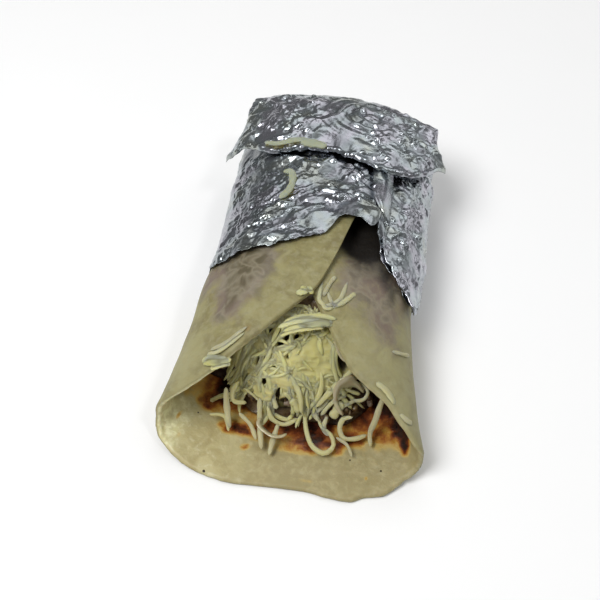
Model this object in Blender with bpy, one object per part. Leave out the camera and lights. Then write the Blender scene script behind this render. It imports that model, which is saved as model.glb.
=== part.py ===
"""A frankie roll: a flatbread folded round its filling, topped with grated cheese, the rear half in foil.

Metres, +Z up. The roll lies on its back along Y. Its open mouth is at -Y, and +X is on the right of
someone who looks into the mouth. A point on the roll is given by y, its distance behind the lip, and
by a wrap angle: 0 at the middle of the underside, positive up the right side, and pi at the top.
"""

import math
import random

import bmesh
import bpy
import numpy as np

PI = math.pi

# Driving dimensions
BREAD_THICKNESS = 0.0018
BREAD_END_Y = 0.118  # where the bread stops inside the foil
FOIL_THICKNESS = 0.0009  # several crumpled layers
GAP = 0.0005  # between neighbouring pieces
FOIL_LIFT = FOIL_THICKNESS + GAP  # the foil holds the bread this far off the table

# Along the roll: (y, size), for the left and right half widths, the height of the widest point, and
# the height from there to the top
LEFT_HALF = (
    (0.0, 0.0452), (0.010, 0.0436), (0.0227, 0.0406), (0.032, 0.0395), (0.042, 0.0381), (0.054, 0.0370),
    (0.063, 0.0360), (0.072, 0.0344), (0.093, 0.0345), (0.110, 0.0347), (0.122, 0.0343), (0.150, 0.0335),
)
RIGHT_HALF = (
    (0.0, 0.0446), (0.012, 0.0410), (0.020, 0.0387), (0.033, 0.0366), (0.044, 0.0347), (0.052, 0.0338),
    (0.060, 0.0331), (0.080, 0.0333), (0.105, 0.0334), (0.122, 0.0338), (0.150, 0.0335),
)
SIDE_HEIGHT = ((0.0, 0.0100), (0.030, 0.0120), (0.060, 0.0138), (0.150, 0.0140))
CROWN_HEIGHT = ((0.0, 0.0150), (0.025, 0.0200), (0.048, 0.0232), (0.080, 0.0205), (0.115, 0.0188), (0.150, 0.0170))
BASE_RISE = (0.046, 0.058)  # between these the bread climbs from the table onto the foil

# Roundness of the section: 2 is an ellipse and more is boxier
UNDER_POWER = 3.4
CROWN_POWER = 2.3
UNDER_SINK = 0.0006  # how far the rounded underside is cut off flat

# The bread's front rim: (wrap angle, y), up the left flap, along the lip and up the right flap
RIM = (
    (-3.56, 0.0960), (-3.45, 0.0870), (-3.38, 0.0775), (-3.30, 0.0625), (-3.23, 0.0535), (-3.12, 0.0452),
    (-2.99, 0.0380), (-2.88, 0.0330), (-2.76, 0.0280), (-2.66, 0.0246), (-2.56, 0.0220), (-2.44, 0.0200),
    (-2.29, 0.0178), (-2.10, 0.0156), (-1.50, 0.0134), (-1.20, 0.0104), (-0.82, 0.0064), (-0.55, 0.0027),
    (-0.30, 0.0005), (-0.12, -0.0002), (0.04, 0.0004), (0.14, -0.0007), (0.25, -0.0011), (0.38, 0.0008),
    (0.56, 0.0022), (0.82, 0.0064), (1.25, 0.0102), (1.60, 0.0116), (1.95, 0.0112), (2.07, 0.0128),
    (2.21, 0.0148), (2.31, 0.0176), (2.43, 0.0203), (2.56, 0.0228), (2.75, 0.0278), (2.84, 0.0325),
    (2.95, 0.0389), (3.08, 0.0470), (3.20, 0.0560), (3.32, 0.0690), (3.44, 0.0820),
)
FLAP_RAMP = (-PI + 0.85, -PI + 0.40)  # the left flap climbs onto the right one here

# The filling ends in a slope that faces out of the mouth
SLOPE_FOOT_Y = 0.024
SLOPE_RUN = 0.82  # how far the slope goes back for each unit that it rises
FILLING_END_Y = 0.112
FILLING_LUMP = 0.0012

# The grated cheese: a mound on that slope, and the shreds that cover it
MOUND_CENTRE = (-0.001, 0.0345)
MOUND_HALF_SIZE = (0.0185, 0.0108)
MOUND_HEIGHT = 0.0062
LUMP_CENTRE = (0.005, 0.0350)  # where the mound is highest
SPREAD_CENTRE = (-0.001, 0.0325)
SPREAD_HALF_SIZE = (0.0245, 0.0165)
SHRED_WIDTH = 0.0022
SHRED_DEPTH = 0.0014
SHRED_COUNT = 64
SHRED_SEGMENTS = 6
FLOOR_SHREDS = 13  # of them hang down the front, onto the bread

# Onion slices at the mound's edge: (x, y, radius, first angle, sweep)
ONIONS = (
    (-0.0050, 0.0205, 0.0055, 2.9, 2.6),
    (0.0185, 0.0285, 0.0060, 1.2, 2.9),
    (0.0150, 0.0385, 0.0045, 2.6, 3.0),
)
ONION_WIDTH = 0.0034
ONION_THICKNESS = 0.0013

# Shreds that fell on the bread, each as (wrap angle, y, height over the bread) stops
STRAYS = (
    ((-2.34, 0.0272, 0.0), (-2.55, 0.0306, 0.0004), (-2.72, 0.0336, 0.0)),
    ((-2.43, 0.0253, 0.0), (-2.55, 0.0270, 0.0008), (-2.68, 0.0272, 0.0)),
    ((-2.50, 0.0232, 0.0), (-2.60, 0.0238, 0.0012), (-2.68, 0.0250, 0.0)),
    ((-2.58, 0.0226, 0.0006), (-2.62, 0.0255, 0.0014), (-2.56, 0.0288, 0.0)),
    ((-3.07, 0.0480, 0.0), (-3.12, 0.0492, 0.0006), (-3.16, 0.0512, 0.0)),
    ((2.30, 0.0368, 0.0), (2.18, 0.0385, 0.0006), (2.06, 0.0395, 0.0)),
    ((2.52, 0.0230, 0.0), (2.39, 0.0218, 0.0008), (2.27, 0.0208, 0.0)),
    ((2.24, 0.0198, 0.0), (2.12, 0.0184, 0.0006), (2.00, 0.0184, 0.0)),
    ((3.02, 0.0455, 0.0), (3.01, 0.0505, 0.0008), (2.95, 0.0560, 0.0)),
    ((2.97, 0.0464, 0.0), (2.87, 0.0482, 0.0010), (2.79, 0.0520, 0.0)),
    ((2.90, 0.0434, 0.0), (3.05, 0.0415, 0.0006), (3.20, 0.0392, -0.0010)),
    ((2.93, 0.0462, 0.0), (3.05, 0.0437, 0.0006), (3.16, 0.0416, -0.0004)),
)

# The foil: (wrap angle, y) of its torn front edge, and (x, y) of its rear fold and the tail's free edge
FOIL_FRONT = (
    (-PI, 0.0705), (-2.93, 0.0640), (-2.72, 0.0612), (-2.36, 0.0618), (-2.15, 0.0612), (-1.77, 0.0660),
    (-1.2, 0.0640), (0.0, 0.0630), (1.2, 0.0610), (1.80, 0.0572), (2.00, 0.0538), (2.11, 0.0545), (2.24, 0.0590),
    (2.39, 0.0612), (2.55, 0.0663), (2.66, 0.0742), (2.76, 0.0780), (2.92, 0.0784), (3.03, 0.0765), (PI, 0.0705),
)
CLOSE_START_Y = 0.121
MEET_HEIGHT = 0.0265  # where the sleeve's top and underside meet at the rear fold
FOLD_HEIGHT = 0.0318  # where the tail starts, over them
REAR_EDGE = (
    (-0.034, 0.1420), (-0.023, 0.1446), (-0.0085, 0.1455), (0.0023, 0.1455), (0.0096, 0.1449),
    (0.017, 0.1428), (0.0244, 0.1398), (0.035, 0.1355),
)
TAIL_EDGE = (
    (-0.041, 0.1165), (-0.034, 0.1170), (-0.027, 0.1135), (-0.021, 0.1074), (-0.013, 0.1086), (-0.0037, 0.1091),
    (0.003, 0.1075), (0.010, 0.1053), (0.0169, 0.1026), (0.023, 0.1030), (0.0304, 0.1068), (0.0395, 0.1195),
)
TAIL_THICKNESS = 0.0013
TAIL_CLEARANCE = 0.0010
TAIL_SHOULDER = 0.55  # the share of the tail's length over which it climbs
SEAM_ANGLE = 2.74  # the foil's right part ends here, on top of its left part
SEAM_STEP = 0.0007

# Mesh density
BREAD_AROUND, BREAD_ALONG = 47, 13
FOIL_AROUND, FOIL_ALONG, CLOSE_STEPS, TAIL_STEPS = 38, 10, 4, 7
FILLING_AROUND, FILLING_ALONG = 26, 7


def through(x, stops):
    """The value at x of a smooth curve through each (x, value) stop.

    Each stretch is a cubic, and its slope at a stop is the one between the stop's two neighbours.
    """
    at, value = np.array(stops).T
    slope = np.gradient(value, at)
    x = np.clip(np.asarray(x, float), at[0], at[-1])
    k = np.clip(np.searchsorted(at, x, side="right") - 1, 0, len(at) - 2)
    width = at[k + 1] - at[k]
    t = (x - at[k]) / width
    start = (1.0 + 2.0 * t) * (1.0 - t) ** 2 * value[k] + t * (1.0 - t) ** 2 * width * slope[k]
    return start + t**2 * (3.0 - 2.0 * t) * value[k + 1] + t**2 * (t - 1.0) * width * slope[k + 1]


def smooth(t):
    """0 below t = 0, 1 above t = 1, and an S-curve between."""
    t = np.clip(t, 0.0, 1.0)
    return t * t * (3.0 - 2.0 * t)


def base_height(y):
    """How far the bread's underside is above the table."""
    return FOIL_LIFT * smooth((np.asarray(y) - BASE_RISE[0]) / (BASE_RISE[1] - BASE_RISE[0]))


def section(angle, y, outward):
    """A point of the roll's outer face, moved outward by that much. Its section is a superellipse."""
    sine, cosine = np.sin(angle), np.cos(angle)
    half = np.where(sine < 0.0, through(y, LEFT_HALF), through(y, RIGHT_HALF)) + outward
    low = through(y, SIDE_HEIGHT) + UNDER_SINK
    side = base_height(y) - UNDER_SINK + low
    crown = through(y, CROWN_HEIGHT) + outward
    under = cosine > 0
    power = np.where(under, UNDER_POWER, CROWN_POWER)
    x = half * np.sign(sine) * np.abs(sine) ** (2.0 / power)
    z = side - np.where(under, low + outward, crown) * np.sign(cosine) * np.abs(cosine) ** (2.0 / power)
    return np.stack([x, y + 0.0 * x, np.maximum(z, base_height(y) - outward)], axis=-1)


def bread_lift(angle):
    """How far the left flap is raised to lie on the right one."""
    start, end = FLAP_RAMP
    return (BREAD_THICKNESS + GAP) * smooth((angle - start) / (end - start))


def make_object(name, vertices, faces, material):
    mesh = bpy.data.meshes.new(name)
    mesh.from_pydata([tuple(v) for v in vertices], [], faces)
    mesh.validate()
    mesh.materials.append(material)
    made = bpy.data.objects.new(name, mesh)
    bpy.context.scene.collection.objects.link(made)
    face_outwards(made)
    mesh.shade_smooth()
    mesh.set_sharp_from_angle(angle=math.radians(40))
    return made


def face_outwards(made):
    work = bmesh.new()
    work.from_mesh(made.data)
    bmesh.ops.recalc_face_normals(work, faces=work.faces)
    if work.calc_volume(signed=True) < 0.0:
        bmesh.ops.reverse_faces(work, faces=work.faces)
    work.to_mesh(made.data)
    work.free()


def make_material(name, colour, roughness, metallic=0.0):
    made = bpy.data.materials.new(name)
    made.use_nodes = True
    shader = made.node_tree.nodes["Principled BSDF"]
    shader.inputs["Base Color"].default_value = (*colour, 1.0)
    shader.inputs["Roughness"].default_value = roughness
    shader.inputs["Metallic"].default_value = metallic
    return made


def make_sheet(name, outer, inner, material):
    """A thin solid between two like grids of points, both split into triangles alike."""
    rows, columns = outer.shape[:2]
    count = rows * columns
    index = np.arange(count).reshape(rows, columns)
    faces = []
    for i in range(rows - 1):
        for j in range(columns - 1):
            a, b, c, d = index[i, j], index[i + 1, j], index[i + 1, j + 1], index[i, j + 1]
            faces += [(a, b, c), (a, c, d)]
            faces += [(count + a, count + c, count + b), (count + a, count + d, count + c)]
    border = [*index[:, 0], *index[-1, 1:], *index[-2::-1, -1], *index[0, -2:0:-1]]
    for a, b in zip(border, border[1:] + border[:1]):
        faces += [(a, count + a, count + b), (a, count + b, b)]
    faces = [tuple(int(k) for k in face) for face in faces]
    return make_object(name, np.concatenate([outer.reshape(-1, 3), inner.reshape(-1, 3)]), faces, material)


def make_hose(name, loops, material):
    """A solid bounded by a row of closed loops of points, its first and last loop capped."""
    rows, columns = loops.shape[:2]
    index = np.arange(rows * columns).reshape(rows, columns)
    faces = []
    for i in range(rows - 1):
        for j in range(columns):
            k = (j + 1) % columns
            a, b, c, d = index[i, j], index[i, k], index[i + 1, k], index[i + 1, j]
            faces += [(a, b, c), (a, c, d)]
    faces += [index[0, list(corners)] for corners in cap(loops[0])]
    faces += [index[-1, list(corners)] for corners in cap(loops[-1])]
    return make_object(name, loops.reshape(-1, 3), [tuple(int(k) for k in face) for face in faces], material)


def cap(loop):
    """Triangles across a loop, from its least x to its greatest, between its two sides."""
    count = len(loop)
    first = int(np.argmin(loop[:, 0]))
    last = int(np.argmax(loop[:, 0]))
    one = [(first + k) % count for k in range((last - first) % count + 1)]
    other = [(first - k) % count for k in range((first - last) % count + 1)]
    triangles = []
    i = j = 0
    while i + 1 < len(one) or j + 1 < len(other):
        if j + 1 == len(other) or (i + 1 < len(one) and loop[one[i + 1], 0] <= loop[other[j + 1], 0]):
            triangles.append((one[i], one[i + 1], other[j]))
            i += 1
        else:
            triangles.append((one[i], other[j + 1], other[j]))
            j += 1
    return [t for t in triangles if len(set(t)) == 3]


def make_flatbread(material):
    """The bread: a disc's front part, laid round the roll with its left flap on its right one."""
    angle = np.linspace(RIM[0][0], RIM[-1][0], BREAD_AROUND)[:, None]
    share = np.linspace(0.0, 1.0, BREAD_ALONG)[None, :] ** 1.35
    rim = through(angle, RIM)
    y = rim + (BREAD_END_Y - rim) * share
    angle = angle + 0.0 * share
    lift = bread_lift(angle)
    outer = section(angle, y, lift)
    inner = section(angle, y, lift - BREAD_THICKNESS)
    return make_sheet("flatbread", outer, inner, material)


def slope_y(z):
    """Where the filling's front slope is at a height."""
    return SLOPE_FOOT_Y + SLOPE_RUN * (z - BREAD_THICKNESS - GAP)


def make_filling(material):
    """The sauced vegetable filling: it fills the bread, and ends in a slope behind the mouth."""
    angle = np.linspace(0.0, 2.0 * PI, FILLING_AROUND, endpoint=False)
    inset = -(BREAD_THICKNESS + GAP)
    front = np.full(angle.shape, SLOPE_FOOT_Y)
    for _ in range(12):  # finds where the slope cuts each line along the roll
        front = slope_y(section(angle, front, inset)[:, 2])
    edge = section(angle, front, inset)
    middle = np.array([0.0, slope_y(0.016), 0.016])
    loops = []
    for k, radius in enumerate((0.22, 0.48, 0.74)):
        loop = middle + (edge - middle) * radius
        dents = FILLING_LUMP * (0.5 + 0.5 * np.sin(5.0 * angle + 2.0 * k) * np.cos(3.0 * angle - k))
        loops.append(loop + np.outer(dents, (0.0, 0.80, -0.60)))
    for share in np.linspace(0.0, 1.0, FILLING_ALONG):
        y = front + (FILLING_END_Y - front) * share
        lumps = FILLING_LUMP * (0.5 + 0.5 * np.sin(7.0 * angle + 30.0 * share)) * min(1.0, 4.0 * share)
        loops.append(section(angle, y, inset - lumps))
    return make_hose("filling", np.array(loops), material)


def slope_height(y):
    """The height of the bread's floor and of the filling's slope, with the corner between them rounded."""
    beyond = np.asarray(y, float) - SLOPE_FOOT_Y + 0.001
    return BREAD_THICKNESS + GAP + 0.5 * (beyond + np.sqrt(beyond**2 + 0.005**2)) / SLOPE_RUN


def mound_radius(x, y):
    """How far out of the mound's middle a point is: 1 at its uneven outline."""
    across = (np.asarray(x, float) - MOUND_CENTRE[0]) / MOUND_HALF_SIZE[0]
    along = (np.asarray(y, float) - MOUND_CENTRE[1]) / MOUND_HALF_SIZE[1]
    turn = np.arctan2(along, across)
    return np.hypot(across, along) / (1.0 + 0.07 * np.sin(3.0 * turn + 1.0) + 0.06 * np.sin(5.0 * turn))


def mound_dome(x, y):
    """The height of the mound over the slope, nothing outside its outline."""
    lump = np.exp(-(((x - LUMP_CENTRE[0]) / 0.009) ** 2) - ((y - LUMP_CENTRE[1]) / 0.006) ** 2)
    dome = np.sqrt(np.maximum(0.0, 1.0 - mound_radius(x, y) ** 2))
    return MOUND_HEIGHT * dome * (1.0 + 0.35 * lump)


def lay(x, y, above):
    """Points that far above what the shreds lie on: the bread's floor, the slope and the mound."""
    step = 0.0004
    height = slope_height(y) + mound_dome(x, y)
    ahead = slope_height(y + step) + mound_dome(x, y + step)
    aside = slope_height(y) + mound_dome(x + step, y)
    up = np.stack([(height - aside) / step, (height - ahead) / step, np.ones_like(height)], axis=-1)
    up[:, :2] = np.clip(up[:, :2], -1.6, 1.6)
    up /= np.linalg.norm(up, axis=-1)[:, None]
    return np.stack([x, y, height], axis=-1) + up * np.reshape(above, (-1, 1)), up


def make_mound(material):
    """The cheese's core: a lumpy dome on the slope, its back face just clear of the slope."""
    turn = np.linspace(0.0, 2.0 * PI, 20, endpoint=False)
    loops = [mound_ring(turn, radius, 0.0) for radius in (0.2, 0.45, 0.68, 0.87, 0.97)]
    loops += [mound_ring(turn, radius, 1.0) for radius in (0.94, 0.5, 0.15)]
    return make_hose("cheese_core", np.array(loops), material)


def mound_ring(turn, radius, back):
    reach = radius * (1.0 + 0.07 * np.sin(3.0 * turn + 1.0) + 0.06 * np.sin(5.0 * turn))
    x = MOUND_CENTRE[0] + MOUND_HALF_SIZE[0] * reach * np.cos(turn)
    y = MOUND_CENTRE[1] + MOUND_HALF_SIZE[1] * reach * np.sin(turn)
    clear = slope_height(y) + 0.0010
    return np.stack([x, y, clear + (1.0 - back) * mound_dome(x, y)], axis=-1)


def clear_of_bread(points, reach):
    """Whether each point has bread-free room around it: inside the roll's section, or before the rim."""
    x, y, z = points.T
    inset = -(BREAD_THICKNESS + GAP + reach)
    half = np.where(x < 0.0, through(y, LEFT_HALF), through(y, RIGHT_HALF)) + inset
    side = through(y, SIDE_HEIGHT) + base_height(y)
    crown = through(y, CROWN_HEIGHT) + inset
    low = through(y, SIDE_HEIGHT) - BREAD_THICKNESS - GAP - 0.4 * reach
    upper = z > side
    power = np.where(upper, CROWN_POWER, UNDER_POWER)
    inside = np.abs(x / half) ** power + np.abs((z - side) / np.where(upper, crown, low)) ** power < 1.0
    angle = np.where(x < 0.0, -1.0, 1.0) * (PI - np.arctan2(np.abs(x), z - side))
    return inside | ((y < through(angle, RIM) - reach) & upper)


def shred_path(start, heading, bend, length, rise):
    """A curl laid on the mound, the slope and the bread's floor: a path whose heading turns steadily."""
    along = np.linspace(0.0, 1.0, SHRED_SEGMENTS + 1)
    turned = heading + bend * along
    step = length / SHRED_SEGMENTS
    x = start[0] + np.concatenate([[0.0], np.cumsum(step * np.cos(turned[:-1]))])
    y = start[1] + np.concatenate([[0.0], np.cumsum(step * np.sin(turned[:-1]) * 0.72)])
    return lay(x, y, 0.5 * SHRED_DEPTH + rise * np.sin(PI * along) ** 2)


def make_shred(name, path, up, material):
    """A flat ribbon of cheese along a path, with four corners to its section."""
    ahead = np.gradient(path, axis=0)
    ahead /= np.linalg.norm(ahead, axis=1)[:, None]
    side = np.cross(ahead, up)
    side /= np.linalg.norm(side, axis=1)[:, None]
    up = np.cross(side, ahead)
    taper = np.full((len(path), 1), 0.5)
    taper[[0, -1]] = 0.38
    wide, deep = SHRED_WIDTH * taper, SHRED_DEPTH * taper
    loops = np.stack([path + side * wide, path + up * deep, path - side * wide, path - up * deep], axis=1)
    return make_hose(name, loops, material)


def scatter_shreds(material, onions):
    """The shreds that show, spread over the mound by rule, each cut short of the bread and the onion."""
    draw = random.Random(19)
    golden = PI * (3.0 - math.sqrt(5.0))
    made = []
    for k in range(SHRED_COUNT):
        spread = math.sqrt((k + 0.5) / SHRED_COUNT)
        x = SPREAD_CENTRE[0] + SPREAD_HALF_SIZE[0] * spread * math.cos(golden * k)
        y = SPREAD_CENTRE[1] + SPREAD_HALF_SIZE[1] * spread * math.sin(golden * k)
        heading = draw.uniform(0.0, 2.0 * PI)
        length = draw.uniform(0.010, 0.019)
        bend = draw.choice((-1.0, 1.0)) * draw.uniform(0.5, 4.2)
        if k >= SHRED_COUNT - FLOOR_SHREDS:
            place = (k - SHRED_COUNT + FLOOR_SHREDS + 0.5) / FLOOR_SHREDS
            x = SPREAD_CENTRE[0] + SPREAD_HALF_SIZE[0] * 1.7 * (place - 0.5)
            y = MOUND_CENTRE[1] - MOUND_HALF_SIZE[1] * 0.85
            heading = -0.5 * PI + draw.uniform(-0.6, 0.6)
        path, up = shred_path((x, y), heading, bend, length, draw.uniform(0.0, 0.0022))
        clear = clear_of_bread(path, 0.6 * SHRED_WIDTH) & clear_of_onions(path, onions)
        if clear[0] and not clear.all():
            cut = int(np.argmin(clear))
            path, up = path[:cut], up[:cut]
        if clear[0] and len(path) > 3:
            made.append(make_shred(f"shred_{k}", path, up, material))
    return made


def clear_of_onions(path, onions):
    """Whether each point is a shred's width clear of every onion corner."""
    corners = np.concatenate(onions)
    apart = np.linalg.norm(path[:, None] - corners[None], axis=2).min(axis=1)
    return apart > 0.5 * SHRED_WIDTH + 3.0 * GAP


def onion_faces(x, y, radius, first, sweep):
    """The outer and inner faces of a slice: part of a ring that stands, a little tilted, on the slope."""
    turn = np.linspace(first, first + sweep, 11)[:, None]
    rise = np.linspace(0.0, 1.0, 3)[None, :]
    faces = []
    for reach in (radius, radius - ONION_THICKNESS):
        flare = reach * (1.0 + 0.16 * rise)
        across = x + flare * np.cos(turn)
        along = y + flare * np.sin(turn) * 0.75
        foot, up = lay(across.ravel(), along.ravel(), 0.0)
        lifted = foot + np.array([0.0, -0.45, 0.89]) * (0.0012 + ONION_WIDTH * np.tile(rise, (11, 1)).reshape(-1, 1))
        faces.append(lifted.reshape(11, 3, 3))
    return faces


def stray_path(stops):
    """A path along the bread's outer face through (wrap angle, y, height over it) stops."""
    at = np.linspace(0.0, 1.0, len(stops))
    along = np.linspace(0.0, 1.0, SHRED_SEGMENTS + 1)
    angle, y, above = [through(along, list(zip(at, column))) for column in zip(*stops)]
    lift = bread_lift(angle) + 0.25 * SHRED_DEPTH
    path = section(angle, y, lift + above)
    return path, section(angle, y, lift + above + 0.001) - path


def fuse(name, core, others):
    """One solid from a core and the pieces that reach into it, by one Boolean union."""
    group = bpy.data.collections.new(name + "_pieces")
    bpy.context.scene.collection.children.link(group)
    for other in others:
        bpy.context.scene.collection.objects.unlink(other)
        group.objects.link(other)
    union = core.modifiers.new("union", "BOOLEAN")
    union.operation = "UNION"
    union.operand_type = "COLLECTION"
    union.collection = group
    union.solver = "EXACT"
    bpy.context.view_layer.objects.active = core
    bpy.ops.object.modifier_apply(modifier=union.name)
    for other in others:
        bpy.data.objects.remove(other)
    bpy.data.collections.remove(group)
    keep_outer_body(core)
    core.data.set_sharp_from_angle(angle=math.radians(40))
    core.name = name
    core.data.name = name
    return core


def keep_outer_body(made):
    """Drops loose scraps, and the inner walls of hollows that fusing has sealed."""
    work = bmesh.new()
    work.from_mesh(made.data)
    unseen = set(work.faces)
    bodies = []
    while unseen:
        body, reached = set(), [unseen.pop()]
        while reached:
            face = reached.pop()
            body.add(face)
            shared = [edge.link_faces for edge in face.edges if len(edge.link_faces) == 2]
            near = {other for faces in shared for other in faces} & unseen
            unseen -= near
            reached.extend(near)
        bodies.append(body)
    bodies.sort(key=len, reverse=True)
    bmesh.ops.delete(work, geom=[face for body in bodies[1:] for face in body], context="FACES")
    work.to_mesh(made.data)
    work.free()


def foil_rest(angle):
    """How far the sleeve is raised by the doubled flaps under it, and its right part by its left part."""
    turn = (angle + PI) % (2.0 * PI) - PI
    flaps = smooth((-PI + 0.95 - turn) / 0.45) + smooth((turn - PI + 0.62) / 0.18)
    return (BREAD_THICKNESS + GAP) * np.minimum(flaps, 1.0)


def seam_step(angle):
    """The foil's right part lies on its left part as far as the seam."""
    return SEAM_STEP * smooth((SEAM_ANGLE + 0.03 - angle) / 0.06) * smooth((angle - 1.9) / 0.5)


def foil_crumple(angle, seed):
    """Dents and ridges of the foil, none on the underside, as fixed random numbers for each corner."""
    noise = np.random.default_rng(seed).uniform(-0.5, 1.0, angle.shape)
    return 0.0005 * noise * smooth((np.abs(angle) - 0.9) / 0.5)


def make_foil(material):
    """The foil: a sleeve round the roll, closed at the back, its flat tail folded over onto the top."""
    angle = foil_angles()
    front = through(angle, FOIL_FRONT)
    inner, outer = [], []
    for k, share in enumerate(np.linspace(0.0, 1.0, FOIL_ALONG)):
        y = front + (CLOSE_START_Y - front) * share
        inner.append(section(angle, y, GAP + foil_rest(angle)))
        inner[-1][:, 2] = np.maximum(inner[-1][:, 2], FOIL_THICKNESS)
        raised = FOIL_THICKNESS + seam_step(angle) + foil_crumple(angle, 40 + k)
        outer.append(section(angle, y, GAP + foil_rest(angle) + raised))
        outer[-1][:, 2] = np.maximum(outer[-1][:, 2], 0.0)
    for share in np.linspace(0.0, 1.0, CLOSE_STEPS + 1)[1:]:
        inner.append(closing_loop(angle, 0.85 * share, inner[FOIL_ALONG - 1], FOIL_THICKNESS))
        outer.append(closing_loop(angle, share, outer[FOIL_ALONG - 1], 0.0))
    return make_hose("foil_wrap", np.array(inner[::-1] + outer + tail_loops(angle)), material)


def foil_angles():
    """Wrap angles round the sleeve, with a pair close together at the seam."""
    angle = np.linspace(-PI, PI, FOIL_AROUND - 1, endpoint=False)
    near = int(np.argmin(np.abs(angle - SEAM_ANGLE)))
    angle[near] = SEAM_ANGLE - 0.035
    return np.insert(angle, near + 1, SEAM_ANGLE + 0.035)


def closing_loop(angle, share, full, inset):
    """The sleeve's end: the underside rises and the top falls until they meet at the fold."""
    turn = 0.5 * PI * share
    pinch = np.where(full[:, 0] < 0.0, -0.10, 0.02) - (0.05 if inset > 0.0 else 0.0)
    x = full[:, 0] * (1.0 + pinch * share)
    rear = through(x, REAR_EDGE) - 0.0008 - inset
    y = full[:, 1] + (rear - full[:, 1]) * math.sin(turn)
    z = MEET_HEIGHT + (full[:, 2] - MEET_HEIGHT) * (1.0 - (1.0 - math.cos(turn)) * 0.97)
    return np.stack([x, y, z], axis=-1)


def tail_loops(angle):
    """The two layers past the end, bent up and over: what was the lower layer is the tail's upper face."""
    across = np.sin(angle)
    upper = np.sign(np.cos(angle)) * np.abs(np.cos(angle)) ** 0.5
    rear_x = np.where(across < 0.0, 0.0310, 0.0355) * across
    edge_x = np.where(across < 0.0, 0.0410, 0.0395) * across
    rear = through(rear_x, REAR_EDGE)
    bend = np.full(angle.shape, 0.5 * (MEET_HEIGHT + FOLD_HEIGHT))
    loops = [np.stack([rear_x, rear - 0.0004 + 0.0006 * upper, bend], axis=-1)]
    for share in np.linspace(0.0, 1.0, TAIL_STEPS):
        flare = share**2.4
        x = rear_x + (edge_x - rear_x) * flare
        y = rear + (through(edge_x, TAIL_EDGE) - rear) * share - 0.0006 * (1.0 - upper) * (share == 0.0)
        puff = 0.0012 * np.sin(PI * share) * (1.0 + np.cos(3.0 * across + 1.0))
        thick = 0.5 * TAIL_THICKNESS * (1.0 - 0.2 * (share == 1.0))
        middle = FOLD_HEIGHT + (tail_height(x, y) - FOLD_HEIGHT) * tail_rise(share)
        slope = (tail_height(x + 0.0002, y) - tail_height(x - 0.0002, y)) / 0.0004 * tail_rise(share)
        offset = thick * upper / np.sqrt(1.0 + slope**2)
        loops.append(np.stack([x - offset * slope, y, middle + puff * (upper > 0.0) + offset], axis=-1))
    return loops


def tail_rise(share):
    """How far the tail has climbed from its fold to the sleeve's top: quickly at first, round as a shoulder."""
    return math.sqrt(1.0 - (1.0 - min(1.0, share / TAIL_SHOULDER)) ** 2)


def tail_height(x, y):
    """The height of the tail's middle: over the sleeve's top, and less steep at its ears."""
    crown = through(y, CROWN_HEIGHT) + BREAD_THICKNESS + 2.0 * GAP + FOIL_THICKNESS
    side = through(y, SIDE_HEIGHT) + FOIL_LIFT
    across = np.minimum(np.abs(x) / 0.0412, 0.97)
    top = side + crown * (1.0 - across**2.3) ** (1.0 / 2.3)
    return top + TAIL_CLEARANCE + 0.5 * TAIL_THICKNESS + SEAM_STEP * (x > 0.0)


def stand_on_origin(made):
    """Moves everything so that the origin is under the middle of the whole roll."""
    corners = np.concatenate([[v.co[:] for v in piece.data.vertices] for piece in made])
    low, high = corners.min(axis=0), corners.max(axis=0)
    shift = (-(low[0] + high[0]) / 2, -(low[1] + high[1]) / 2, -low[2])
    for piece in made:
        for vertex in piece.data.vertices:
            vertex.co = tuple(c + s for c, s in zip(vertex.co, shift))


def main():
    for old in list(bpy.data.objects):
        bpy.data.objects.remove(old)
    bread = make_material("bread", (0.52, 0.44, 0.25), 0.65)
    stuffing = make_material("stuffing", (0.16, 0.06, 0.02), 0.4)
    cheese = make_material("cheese", (0.78, 0.72, 0.42), 0.45)
    onion = make_material("onion", (0.48, 0.36, 0.40), 0.3)
    foil = make_material("foil", (0.75, 0.76, 0.78), 0.25, 1.0)
    strays = [make_shred(f"stray_{k}", *stray_path(stops), bread) for k, stops in enumerate(STRAYS)]
    made = [fuse("flatbread", make_flatbread(bread), strays), make_filling(stuffing), make_foil(foil)]
    corners = []
    for k, place in enumerate(ONIONS):
        outer, inner = onion_faces(*place)
        made.append(make_sheet(f"onion_slice_{k + 1}", outer, inner, onion))
        corners.append(np.concatenate([outer.reshape(-1, 3), inner.reshape(-1, 3)]))
    made.append(fuse("cheese_shreds", make_mound(cheese), scatter_shreds(cheese, corners)))
    stand_on_origin(made)


main()
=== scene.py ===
"""A frankie roll, dressed: a flatbread round its filling, grated cheese in its mouth, its rear half in foil.

Shapes are worked out with the roll's own measures, in metres: the middle of the lip's underside is at
zero, y runs back along the roll and z is up. A place on the roll is a wrap angle, 0 at the middle of
the underside, positive up the right side and pi at the top, and y. put_mesh moves each finished piece
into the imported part's frame.
"""

import math

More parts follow.
